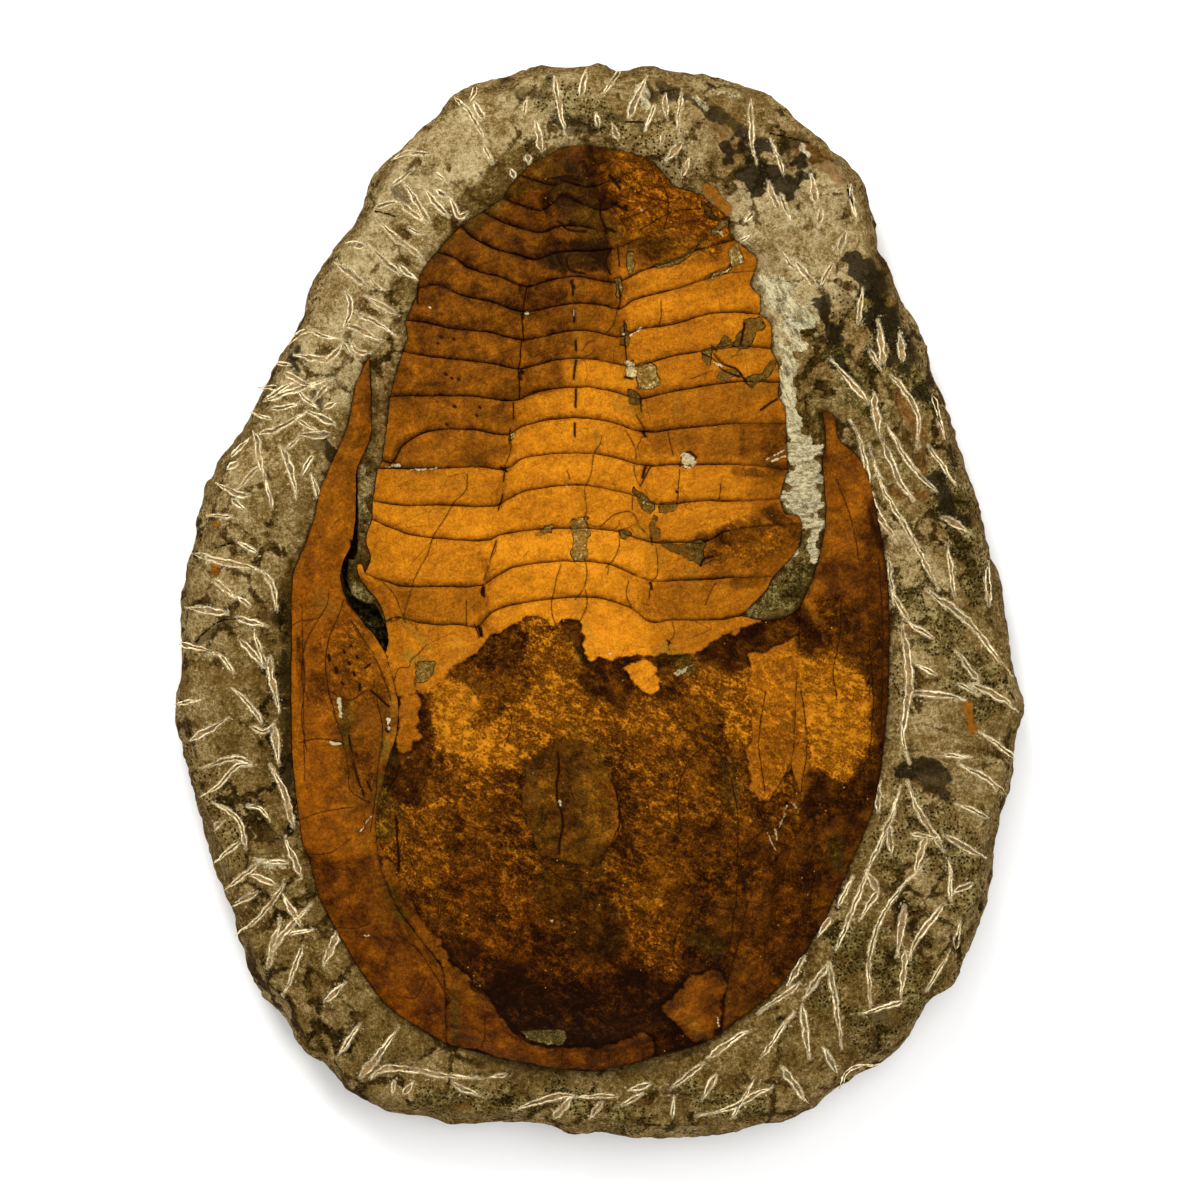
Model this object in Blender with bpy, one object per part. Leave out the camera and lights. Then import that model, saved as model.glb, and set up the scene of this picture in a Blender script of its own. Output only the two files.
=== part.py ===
"""A Cambropallas telesto trilobite lying in relief in its slab of stone, head towards -Y.

The slab's sawn back rests on z = 0. Outlines are points of the photograph, in its pixels,
and PIXEL turns them into metres. Heights are real sizes. Each plate of the animal stands
in one flat-bottomed pocket of the slab, with an open joint round it.
"""

import bpy
import numpy as np
from mathutils import Vector
from mathutils.geometry import delaunay_2d_cdt

# Driving sizes, in metres.
SLAB_LENGTH = 0.3435
JOINT = 0.0003
POCKET_FLOOR = 0.022
RIM_HEIGHT = 0.038
RIM_EDGE_DROP = 0.008
RIM_EDGE_REACH = 0.014
MOAT_DEPTH = 0.003
MOAT_REACH = 0.006
PLATE_MARGIN = 0.0365
PLEURA_RISE = 0.0075
PLEURA_REACH = 0.010
AXIS_RISE = 0.006
FURROW_DEPTH = 0.0013
FURROW_WIDTH = 0.0022
DOME_RISE = 0.0115
DOME_FLATNESS = 2.6
DOME_STEEPNESS = 0.75
BORDER_RISE = 0.0022
BORDER_BEYOND_DOME = 0.0045
BORDER_WIDTH = 0.0035
NECK_FADE = 0.025
EYE_REACH = 0.0135
EYE_RISE = 0.0018
PLATE_EDGE_DROP = 0.0009
SHOULDER = 0.0014
# The slab's side as steps up from the sawn back: how far in from the outline, how high,
# and how much of the stone's unevenness that step takes.
SIDE_STEPS = (
    (0.0050, 0.0, 1.0), (0.0022, 0.006, 0.9), (0.0, 0.017, 0.0), (0.0019, 0.026, 0.8),
)
UPPER_EDGE_INSET = 0.0046
# Unevenness of the broken stone: each wave's length, direction in degrees and size.
LUMPS = ((0.061, 20, 0.0009), (0.037, 75, 0.0006), (0.023, 130, 0.0005))
LUMP_SHIFT = 1.7

# The photograph's pixels.
SLAB_TOP_PIXEL = 63.0
SLAB_BOTTOM_PIXEL = 1136.5
SLAB_LEFT_PIXEL = 174.5
SLAB_RIGHT_PIXEL = 1024.5
PIXEL = SLAB_LENGTH / (SLAB_BOTTOM_PIXEL - SLAB_TOP_PIXEL)

# Mesh sizes.
OUTLINE_STEP = 0.0055
SLAB_STEP = 0.0085
HEAD_STEP = 0.0075
SEGMENT_STEP = 0.0065
CLEAR_SHARE = 0.5
SHOULDER_SHARE = 0.7
SHARP_ANGLE = 0.6

SLAB_EDGE = (
    (455, 97), (476, 88), (500, 82), (533, 66), (572, 65), (600, 63), (620, 71), (650, 69),
    (690, 73), (725, 79), (762, 89), (781, 100), (800, 119), (826, 141), (850, 168),
    (865, 190), (872, 218), (878, 250), (891, 270), (901, 302), (923, 340), (930, 370),
    (948, 412), (961, 460), (979, 506), (987, 540), (1000, 587), (1007, 630), (1015, 668),
    (1024.5, 707), (1018, 740), (1014, 778), (1000, 822), (994, 850), (990, 885),
    (979, 920), (964, 953), (955, 981), (930, 1004), (910, 1035), (887, 1058), (860, 1072),
    (822, 1098), (790, 1119), (748, 1128), (728, 1135), (695, 1136.5), (640, 1136),
    (600, 1131), (573, 1136), (550, 1128), (510, 1123), (465, 1123), (423, 1116),
    (385, 1109), (347, 1092), (326, 1068), (302, 1052), (282, 1015), (259, 990),
    (246, 960), (233, 920), (213, 860), (200, 820), (188, 777), (181, 740), (174.5, 708),
    (179, 668), (182, 625), (184, 576), (195, 548), (206, 502), (219, 465), (239, 434),
    (260, 395), (281, 352), (303, 320), (311, 289), (334, 250), (358, 218), (370, 186),
    (392, 154), (417, 131), (440, 113),
)

# The joint lines across the body, head end first, each from the left edge to the right.
JOINT_LINES = (
    (
        (405, 619), (420, 623), (440, 625), (461, 625), (478, 627), (490, 615), (504, 608),
        (536, 601), (575, 598), (600, 599), (631, 609), (650, 622), (675, 620), (719, 620),
        (740, 616),
    ),
    (
        (375, 578), (390, 583), (405, 587), (440, 587), (482, 586), (494, 579), (515, 568),
        (545, 563), (585, 562), (612, 566), (650, 581), (680, 581), (738, 578), (772, 577),
    ),
    (
        (373, 520), (388, 527), (410, 535), (438, 539), (488, 541), (503, 535), (530, 531),
        (575, 529), (615, 532), (650, 543), (680, 543), (703, 543), (729, 531), (760, 527),
        (801, 524),
    ),
    (
        (374, 502), (400, 506), (440, 506), (496, 507), (508, 500), (527, 492), (560, 487),
        (590, 487), (633, 496), (655, 505), (700, 502), (738, 502), (779, 499),
    ),
    (
        (379, 469), (415, 470), (450, 469), (480, 468), (506, 470), (525, 459), (554, 455),
        (590, 455), (619, 460), (645, 467), (671, 466), (709, 466), (750, 466), (787, 471),
    ),
    (
        (383, 462), (394, 463), (402, 449), (415, 439), (433, 432), (470, 431), (508, 436),
        (523, 428), (550, 421), (585, 420), (612, 424), (645, 433), (690, 429), (735, 425),
        (785, 425),
    ),
    (
        (391, 398), (430, 397), (473, 398), (515, 402), (535, 394), (560, 390), (588, 389),
        (612, 393), (640, 400), (673, 393), (715, 386), (745, 383), (779, 384),
    ),
    (
        (404, 353), (430, 358), (465, 362), (495, 366), (519, 371), (540, 366), (565, 361),
        (590, 361), (612, 365), (635, 368), (671, 358), (710, 352), (740, 348), (770, 350),
    ),
    (
        (406, 322), (430, 325), (450, 330), (488, 334), (524, 342), (545, 338), (573, 333),
        (595, 334), (618, 339), (640, 331), (670, 327), (700, 318), (730, 314), (759, 316),
    ),
    (
        (418, 290), (440, 287), (461, 297), (492, 304), (523, 314), (550, 310), (573, 306),
        (600, 307), (618, 311), (635, 302), (671, 292), (700, 283), (728, 275), (753, 273),
    ),
    (
        (437, 254), (455, 260), (470, 271), (500, 279), (527, 289), (550, 283), (575, 279),
        (600, 283), (618, 284), (640, 274), (675, 262), (705, 249), (735, 242),
    ),
    (
        (461, 229), (474, 240), (495, 251), (517, 257), (536, 262), (555, 256), (575, 254),
        (592, 254), (615, 250), (650, 237), (690, 224), (729, 220),
    ),
    (
        (483, 214), (500, 223), (522, 231), (542, 235), (558, 230), (575, 229), (592, 231),
        (608, 233), (630, 220), (665, 205), (702, 197),
    ),
    (
        (503, 200), (520, 207), (541, 213), (553, 206), (563, 201), (580, 206), (602, 213),
        (625, 201), (650, 191), (673, 188),
    ),
    (
        (520, 177), (538, 184), (555, 188), (566, 184), (585, 190), (603, 186), (630, 174),
        (655, 166),
    ),
)

# What lies between neighbouring joint lines' ends, on the left edge and on the right.
LEFT_EDGE = (
    ((395, 595), (386, 584)),
    ((366, 573), (372, 558), (367, 540)),
    (),
    ((376, 485),),
    (),
    ((386, 440), (389, 415)),
    ((398, 370),),
    ((409, 338),),
    ((416, 300),),
    ((422, 274),),
    ((448, 241),),
    ((472, 220),),
    (),
    ((510, 189),),
)
RIGHT_EDGE = (
    ((765, 590),),
    ((790, 558), (799, 543)),
    ((797, 516), (784, 514)),
    ((781, 488),),
    ((786, 447),),
    ((784, 408), (777, 395)),
    ((777, 366),),
    ((770, 326),),
    ((759, 298), (750, 287)),
    ((756, 260), (744, 249)),
    ((728, 232),),
    ((710, 205),),
    (),
    ((667, 180),),
)
TAIL_EDGE = ((533, 165), (548, 158), (563, 149), (590, 148), (612, 151), (640, 158))

# The head, each line from its left or lower end.
NECK_WING = (
    (386, 653), (389, 640), (384, 623), (372, 601), (353, 578), (350, 566), (355, 560),
    (366, 573),
)
NECK_RIGHT = ((740, 616), (765, 620), (788, 616), (800, 606))
LEFT_SEAM = (
    (447, 1042), (446, 1000), (443, 968), (427, 945), (402, 913), (393, 895), (383, 870),
    (378, 840), (377, 815), (383, 790), (389, 760), (397, 735), (399, 705), (395, 682),
    (386, 653),
)
RIGHT_SEAM = (
    (722, 1030), (724, 1000), (730, 970), (738, 940), (745, 910), (752, 890), (765, 870),
    (780, 852), (795, 835), (803, 812), (797, 785), (790, 765), (793, 745), (795, 690),
    (798, 640), (800, 606),
)
FRONT_EDGE = (
    (447, 1042), (475, 1049), (500, 1056), (530, 1062), (565, 1067), (592, 1069),
    (632, 1061), (660, 1053), (700, 1042), (722, 1030),
)
LEFT_CHEEK_INNER = (
    (386, 653), (376, 637), (366, 625), (350, 602), (342, 580), (344, 562), (351, 548),
    (355, 530), (357, 500), (358, 470), (371, 438), (372, 400), (370, 357),
)
LEFT_CHEEK_OUTER = (
    (370, 357), (357, 385), (349, 425), (330, 470), (321, 490), (315, 520), (300, 560),
    (294, 575), (293, 650), (293, 740), (296, 780), (304, 840), (312, 862), (320, 895),
    (332, 918), (350, 950), (373, 985), (392, 1007), (415, 1023), (447, 1042),
)
RIGHT_CHEEK_OUTER = (
    (722, 1030), (757, 1003), (778, 985), (807, 945), (823, 920), (834, 895), (855, 850),
    (873, 805), (879, 770), (886, 705), (888, 640), (887, 600), (884, 560), (873, 500),
    (866, 475), (855, 455), (838, 440), (832, 415), (822, 412),
)
RIGHT_CHEEK_INNER = (
    (822, 412), (825, 440), (822, 460), (825, 520), (815, 570), (800, 606),
)

# Rows down the body: the row, the axis's middle and its half width.
AXIS_ROWS = (
    (150, 578, 16), (188, 574, 24), (235, 575, 35), (290, 571, 45), (339, 573, 49),
    (399, 579, 58), (466, 576, 69), (541, 570, 81), (600, 565, 87), (660, 565, 92),
    (760, 570, 92),
)
DOME_CENTRE = (588, 838)
DOME_REACH = (200, 212)
NECK_FADE_PLACE = (590, 700)
EYE_LEFT = (352, 665)
EYE_RIGHT = (838, 720)

# Colours and roughness. The segments nearest the head are the brightest.
OCHRE_SEGMENTS = 8
STONE_COLOUR = (0.195, 0.145, 0.070, 1.0)
OCHRE = (0.50, 0.20, 0.012, 1.0)
BROWN_OCHRE = (0.33, 0.115, 0.010, 1.0)
HEAD_BROWN = (0.155, 0.052, 0.006, 1.0)
RED_BROWN = (0.205, 0.055, 0.004, 1.0)
STONE_ROUGHNESS = 0.85
PLATE_ROUGHNESS = 0.6


def metres(points):
    """Pixels of the photograph as metres from the slab's middle, +Y up the picture."""
    points = np.array(points, dtype=float)
    middle_x = (SLAB_LEFT_PIXEL + SLAB_RIGHT_PIXEL) / 2
    middle_y = (SLAB_TOP_PIXEL + SLAB_BOTTOM_PIXEL) / 2
    return np.column_stack((points[:, 0] - middle_x, middle_y - points[:, 1])) * PIXEL


def split(line, step):
    """The line with its own points kept and long stretches divided to about this step."""
    line = metres(line)
    out = [line[0]]
    for a, b in zip(line[:-1], line[1:]):
        count = max(1, int(round(np.linalg.norm(b - a) / step)))
        out.extend(a + (b - a) * (k / count) for k in range(1, count + 1))
    return np.array(out)


def ring(*lines):
    """Lines joined end to end into one closed loop that runs anticlockwise."""
    loop = np.vstack([line[:-1] for line in lines])
    if signed_area(loop) < 0:
        loop = loop[::-1]
    return loop


def signed_area(loop):
    after = np.roll(loop, -1, axis=0)
    return 0.5 * np.sum(loop[:, 0] * after[:, 1] - after[:, 0] * loop[:, 1])


def moved_in(loop, amount):
    """An anticlockwise loop with each side moved inwards by the amount or amounts."""
    before = loop - np.roll(loop, 1, axis=0)
    after = np.roll(loop, -1, axis=0) - loop
    before /= np.linalg.norm(before, axis=1)[:, None]
    after /= np.linalg.norm(after, axis=1)[:, None]
    left_before = np.column_stack((-before[:, 1], before[:, 0]))
    left_after = np.column_stack((-after[:, 1], after[:, 0]))
    middle = left_before + left_after
    middle /= np.maximum(np.linalg.norm(middle, axis=1), 0.3)[:, None]
    reach = 1 / np.maximum(np.sum(middle * left_after, axis=1), 0.45)
    return loop + middle * (reach * amount)[:, None]


def distance_to(points, loop):
    """How far each point is from the closed loop."""
    a = loop
    b = np.roll(loop, -1, axis=0)
    along = b - a
    length2 = np.sum(along**2, axis=1)
    away = points[:, None, :] - a[None]
    t = np.clip(np.sum(away * along[None], axis=2) / length2, 0, 1)
    return np.sqrt(np.min(np.sum((away - t[..., None] * along) ** 2, axis=2), axis=1))


def inside(points, loop):
    """Which points lie within the closed loop."""
    x = points[:, 0][:, None]
    y = points[:, 1][:, None]
    a = loop
    b = np.roll(loop, -1, axis=0)
    across = (a[:, 1] > y) != (b[:, 1] > y)
    rise = np.where(b[:, 1] == a[:, 1], 1.0, b[:, 1] - a[:, 1])
    at = a[:, 0] + (y - a[:, 1]) * (b[:, 0] - a[:, 0]) / rise
    return (np.sum(across & (x < at), axis=1) % 2) == 1


def hex_points(loop, step, clear):
    """Points in a triangular pattern inside the loop, kept clear of its sides."""
    low = loop.min(axis=0)
    high = loop.max(axis=0)
    rows = np.arange(low[1], high[1], step * 0.87)
    points = []
    for number, y in enumerate(rows):
        xs = np.arange(low[0] + (number % 2) * step / 2, high[0], step)
        points.append(np.column_stack((xs, np.full(len(xs), y))))
    points = np.vstack(points)
    points = points[inside(points, loop)]
    return points[distance_to(points, loop) > clear]


def triangles(loops, extra):
    """Triangles over the area inside the first loop and outside the others.

    All loops run anticlockwise. The points come back with the loops' own points first.
    """
    points = np.vstack([*loops, extra]) if len(extra) else np.vstack(loops)
    walls = []
    starts = []
    first = 0
    for loop in loops:
        numbers = list(range(first, first + len(loop)))
        around = list(zip(numbers, numbers[1:] + numbers[:1]))
        walls += around
        starts += around if first == 0 else [(b, a) for a, b in around]
        first += len(loop)
    made = delaunay_2d_cdt([Vector(p) for p in points], walls, [], 0, 1e-9, True)
    order = [owners[0] for owners in made[3]]
    faces = [tuple(order[corner] for corner in face) for face in made[2]]
    owner = {}
    for number, (a, b, c) in enumerate(faces):
        owner.update({(a, b): number, (b, c): number, (c, a): number})
    closed = set(walls) | {(b, a) for a, b in walls}
    waiting = [owner[edge] for edge in starts]
    kept = set(waiting)
    while waiting:
        a, b, c = faces[waiting.pop()]
        for edge in ((b, a), (c, b), (a, c)):
            number = owner.get(edge)
            if edge not in closed and number not in kept:
                kept.add(number)
                waiting.append(number)
    return points, np.array([faces[number] for number in sorted(kept)])


def skirt(upper, lower):
    """Faces between an anticlockwise loop of point numbers and the loop under it."""
    after = np.roll(upper, -1)
    under = np.roll(lower, -1)
    return np.vstack(
        (np.column_stack((upper, lower, under)), np.column_stack((upper, under, after)))
    )


def part(name, vertices, faces, colour, roughness):
    """One named solid with its own material, smooth but for its sharp edges."""
    mesh = bpy.data.meshes.new(name)
    mesh.from_pydata(vertices.tolist(), [], faces.tolist())
    mesh.shade_smooth()
    mesh.set_sharp_from_angle(angle=SHARP_ANGLE)
    material = bpy.data.materials.new(name)
    material.use_nodes = True
    shader = material.node_tree.nodes["Principled BSDF"]
    shader.inputs["Base Color"].default_value = colour
    shader.inputs["Roughness"].default_value = roughness
    shader.inputs["Metallic"].default_value = 0.0
    mesh.materials.append(material)
    obj = bpy.data.objects.new(name, mesh)
    bpy.context.scene.collection.objects.link(obj)


def axis_height(points):
    """What the raised axis adds, with a furrow at each of its sides."""
    rows = np.array(AXIS_ROWS, dtype=float)
    middle = metres(rows[:, [1, 0]])
    at = np.argsort(middle[:, 1])
    x_middle = np.interp(points[:, 1], middle[at, 1], middle[at, 0])
    half = np.interp(points[:, 1], middle[at, 1], rows[at, 2] * PIXEL)
    across = np.abs(points[:, 0] - x_middle)
    arch = np.sqrt(np.clip(1 - (across / half) ** 2, 0, 1))
    furrow = np.exp(-(((across - half) / FURROW_WIDTH) ** 2))
    return AXIS_RISE * arch - FURROW_DEPTH * furrow


def fossil_height(points, fossil):
    """The height of the plates' surface: body, raised axis, head, front border and eyes."""
    from_edge = distance_to(points, fossil)
    height = PLATE_MARGIN + PLEURA_RISE * (1 - np.exp(-from_edge / PLEURA_REACH))
    neck = metres([NECK_FADE_PLACE])[0, 1]
    body = np.clip((points[:, 1] - neck) / NECK_FADE, 0, 1)
    height += body * axis_height(points)
    reach = np.array(DOME_REACH) * PIXEL
    out = np.linalg.norm((points - metres([DOME_CENTRE])[0]) / reach, axis=1)
    height += DOME_RISE * np.clip(1 - out**DOME_FLATNESS, 0, 1) ** DOME_STEEPNESS
    beyond = (out - 1) * reach.mean() - BORDER_BEYOND_DOME
    height += BORDER_RISE * np.exp(-((beyond / BORDER_WIDTH) ** 2)) * (1 - body)
    for eye in metres([EYE_LEFT, EYE_RIGHT]):
        away = np.linalg.norm(points - eye, axis=1) / EYE_REACH
        height += EYE_RISE * np.exp(-(away**2))
    return height


def lumps(points, level):
    """The stone's unevenness, from -1 to 1 times the sum of LUMPS, shifted by the level."""
    total = np.zeros(len(points))
    for wave, degrees, size in LUMPS:
        direction = np.array((np.cos(np.radians(degrees)), np.sin(np.radians(degrees))))
        total += size * np.sin(2 * np.pi * (points @ direction + level * LUMP_SHIFT) / wave)
    return total


def slab_height(points, outline, fossil):
    """The height of the stone round the fossil: lower at the rim and in the moat."""
    from_edge = distance_to(points, outline)
    from_fossil = distance_to(points, fossil)
    fall = RIM_EDGE_DROP * np.exp(-((from_edge / RIM_EDGE_REACH) ** 2))
    moat = MOAT_DEPTH * np.exp(-((from_fossil / MOAT_REACH) ** 2))
    away = 1 - np.exp(-((from_fossil / MOAT_REACH) ** 2))
    return RIM_HEIGHT - fall - moat + away * lumps(points, 0)


def side_loop(outline, inset, unevenness, level):
    """One level of the slab's side: the outline moved in, unevenly."""
    return moved_in(outline, inset + unevenness * lumps(outline, level))


def matrix_slab(outline, fossil):
    """The stone: sawn back, stepped side, rim and the pocket for the plates."""
    pocket = moved_in(fossil, -JOINT / 2)
    top_loop = moved_in(outline, UPPER_EDGE_INSET)
    clear = SLAB_STEP * CLEAR_SHARE
    inner = hex_points(top_loop, SLAB_STEP, clear)
    inner = inner[~inside(inner, pocket)]
    inner = inner[distance_to(inner, pocket) > clear]
    points, top = triangles([top_loop, pocket], inner)
    levels = [np.column_stack((points, slab_height(points, outline, fossil)))]
    faces = [top]
    count = len(top_loop)
    upper = np.arange(count)
    start = len(points)
    for inset, level, unevenness in reversed(SIDE_STEPS):
        loop = side_loop(outline, inset, unevenness, level)
        levels.append(np.column_stack((loop, np.full(count, level))))
        lower = np.arange(start, start + count)
        faces.append(skirt(upper, lower))
        upper = lower
        start += count
    _, back = triangles([loop], [])
    faces.append(upper[back[:, ::-1]])
    levels.append(np.column_stack((pocket, np.full(len(pocket), POCKET_FLOOR))))
    mouth = np.arange(count, count + len(pocket))
    floor = np.arange(start, start + len(pocket))
    faces.append(skirt(mouth, floor)[:, ::-1])
    _, base = triangles([pocket], [])
    faces.append(floor[base])
    solid = np.vstack(levels), np.vstack(faces)
    part("matrix_slab", *solid, STONE_COLOUR, STONE_ROUGHNESS)


def plate(name, loop, step, colour, fossil):
    """One plate: a closed solid from just above the pocket's floor to the fossil's surface."""
    loop = moved_in(loop, JOINT / 2)
    shoulder = moved_in(loop, SHOULDER)
    apart = distance_to(shoulder, loop) > SHOULDER * SHOULDER_SHARE
    shoulder = shoulder[inside(shoulder, loop) & apart]
    middle = hex_points(loop, step, SHOULDER + step * CLEAR_SHARE)
    points, top = triangles([loop], np.vstack((shoulder, middle)))
    count = len(loop)
    height = fossil_height(points, fossil)
    height[:count] -= PLATE_EDGE_DROP
    upper = np.column_stack((points, height))
    bottom = np.column_stack((loop, np.full(count, POCKET_FLOOR + JOINT)))
    _, under = triangles([loop], [])
    below = np.arange(count) + len(points)
    faces = np.vstack((top, skirt(np.arange(count), below), under[:, ::-1] + len(points)))
    part(name, np.vstack((upper, bottom)), faces, colour, PLATE_ROUGHNESS)


def body_edges():
    """The joint lines, and the stretches of the body's left and right edge between them."""
    joints = [split(line, OUTLINE_STEP) for line in JOINT_LINES]
    left = []
    right = []
    for number, (near, far) in enumerate(zip(JOINT_LINES[:-1], JOINT_LINES[1:])):
        left.append(split((near[0], *LEFT_EDGE[number], far[0]), OUTLINE_STEP))
        right.append(split((near[-1], *RIGHT_EDGE[number], far[-1]), OUTLINE_STEP))
    return joints, left, right


def head_edges():
    """The head's lines by name."""
    lines = {
        "wing": NECK_WING, "wing_join": (NECK_WING[-1], JOINT_LINES[1][0]),
        "neck_right": NECK_RIGHT, "left_seam": LEFT_SEAM, "right_seam": RIGHT_SEAM,
        "front": FRONT_EDGE, "left_inner": LEFT_CHEEK_INNER, "left_outer": LEFT_CHEEK_OUTER,
        "right_inner": RIGHT_CHEEK_INNER, "right_outer": RIGHT_CHEEK_OUTER,
    }
    return {name: split(line, OUTLINE_STEP) for name, line in lines.items()}


def main():
    for old in list(bpy.data.objects):
        bpy.data.objects.remove(old)
    joints, left, right = body_edges()
    tail = split((JOINT_LINES[-1][0], *TAIL_EDGE, JOINT_LINES[-1][-1]), OUTLINE_STEP)
    head = head_edges()
    # The neck's wing ends at a point of the second segment's left edge.
    met = np.argmin(np.linalg.norm(left[1] - head["wing"][-1], axis=1))
    fossil = ring(
        head["left_inner"][::-1], head["wing"], left[1][met:], *left[2:], tail,
        *[side[::-1] for side in reversed(right)], head["neck_right"],
        head["right_inner"][::-1], head["right_outer"][::-1], head["front"][::-1],
        head["left_outer"][::-1],
    )
    matrix_slab(ring(split(SLAB_EDGE + SLAB_EDGE[:1], SLAB_STEP)), fossil)
    cranidium = ring(
        head["wing"], head["wing_join"], left[0][::-1], joints[0], head["neck_right"],
        head["right_seam"][::-1], head["front"][::-1], head["left_seam"],
    )
    left_cheek = ring(head["left_inner"], head["left_outer"], head["left_seam"])
    right_cheek = ring(head["right_outer"], head["right_inner"], head["right_seam"][::-1])
    plate("cranidium", cranidium, HEAD_STEP, HEAD_BROWN, fossil)
    plate("free_cheek_left", left_cheek, HEAD_STEP, RED_BROWN, fossil)
    plate("free_cheek_right", right_cheek, HEAD_STEP, RED_BROWN, fossil)
    for number in range(len(left)):
        segment = ring(joints[number], right[number], joints[number + 1][::-1], left[number][::-1])
        colour = OCHRE if number < OCHRE_SEGMENTS else BROWN_OCHRE
        plate(f"thorax_segment_{number + 1:02d}", segment, SEGMENT_STEP, colour, fossil)
    plate("pygidium", ring(joints[-1], tail[::-1]), SEGMENT_STEP, BROWN_OCHRE, fossil)


main()
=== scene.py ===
"""A Cambropallas telesto trilobite in its prepared slab: surfaces, finishes, light and view.

Lines and places are points of the photograph, "x,y" in its pixels, which PIXEL turns into
metres from the slab's middle, head towards -Y. The main heights repeat the solid model's.
"""

import itertools

import bpy
import numpy as np
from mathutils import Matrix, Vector
from mathutils.geometry import delaunay_2d_cdt
from mathutils.kdtree import KDTree


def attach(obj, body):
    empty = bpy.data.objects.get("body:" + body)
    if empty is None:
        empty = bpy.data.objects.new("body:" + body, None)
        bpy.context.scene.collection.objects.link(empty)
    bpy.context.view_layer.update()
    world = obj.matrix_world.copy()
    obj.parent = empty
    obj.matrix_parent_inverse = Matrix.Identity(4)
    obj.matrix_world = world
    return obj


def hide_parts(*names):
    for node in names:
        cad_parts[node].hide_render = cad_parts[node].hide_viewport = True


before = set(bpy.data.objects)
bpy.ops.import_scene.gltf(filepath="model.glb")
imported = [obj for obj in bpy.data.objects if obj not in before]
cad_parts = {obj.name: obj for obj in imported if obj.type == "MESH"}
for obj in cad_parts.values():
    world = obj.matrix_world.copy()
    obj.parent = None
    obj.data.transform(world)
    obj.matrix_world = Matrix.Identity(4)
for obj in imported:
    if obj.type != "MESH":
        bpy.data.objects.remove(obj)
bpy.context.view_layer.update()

MM = 0.001

# The solid model's sizes, in metres.
SLAB_LENGTH = 0.3435
JOINT = 0.0003
POCKET_FLOOR = 0.022
RIM_HEIGHT = 0.038
RIM_EDGE_DROP = 0.008
RIM_EDGE_REACH = 0.014
MOAT_DEPTH = 0.003
MOAT_REACH = 0.006
PLATE_MARGIN = 0.0365
PLEURA_RISE = 0.0075
PLEURA_REACH = 0.010
AXIS_RISE = 0.006
FURROW_DEPTH = 0.0013
FURROW_WIDTH = 0.0022
DOME_RISE = 0.0115
DOME_FLATNESS = 2.6
DOME_STEEPNESS = 0.75
BORDER_RISE = 0.0022
BORDER_BEYOND_DOME = 0.0045
BORDER_WIDTH = 0.0035
NECK_FADE = 0.025
EYE_REACH = 0.0135
EYE_RISE = 0.0018
UPPER_EDGE_INSET = 0.0046
SIDE_HEIGHTS = (0.0, 0.006, 0.017, 0.026, 0.031)
SIDE_INSETS = (0.0050, 0.0022, 0.0, 0.0019, UPPER_EDGE_INSET)
LUMPS = ((0.061, 20, 0.0009), (0.037, 75, 0.0006), (0.023, 130, 0.0005))
LUMP_SHIFT = 1.7

SLAB_TOP_PIXEL = 63.0
SLAB_BOTTOM_PIXEL = 1136.5
SLAB_LEFT_PIXEL = 174.5
SLAB_RIGHT_PIXEL = 1024.5
PIXEL = SLAB_LENGTH / (SLAB_BOTTOM_PIXEL - SLAB_TOP_PIXEL)

SLAB_EDGE = (
    "455,97 476,88 500,82 533,66 572,65 600,63 620,71 650,69 690,73 725,79 762,89 781,100 800,119 "
    "826,141 850,168 865,190 872,218 878,250 891,270 901,302 923,340 930,370 948,412 961,460 "
    "979,506 987,540 1000,587 1007,630 1015,668 1024.5,707 1018,740 1014,778 1000,822 994,850 "
    "990,885 979,920 964,953 955,981 930,1004 910,1035 887,1058 860,1072 822,1098 790,1119 "
    "748,1128 728,1135 695,1136.5 640,1136 600,1131 573,1136 550,1128 510,1123 465,1123 423,1116 "
    "385,1109 347,1092 326,1068 302,1052 282,1015 259,990 246,960 233,920 213,860 200,820 188,777 "
    "181,740 174.5,708 179,668 182,625 184,576 195,548 206,502 219,465 239,434 260,395 281,352 "
    "303,320 311,289 334,250 358,218 370,186 392,154 417,131 440,113"
)

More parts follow.
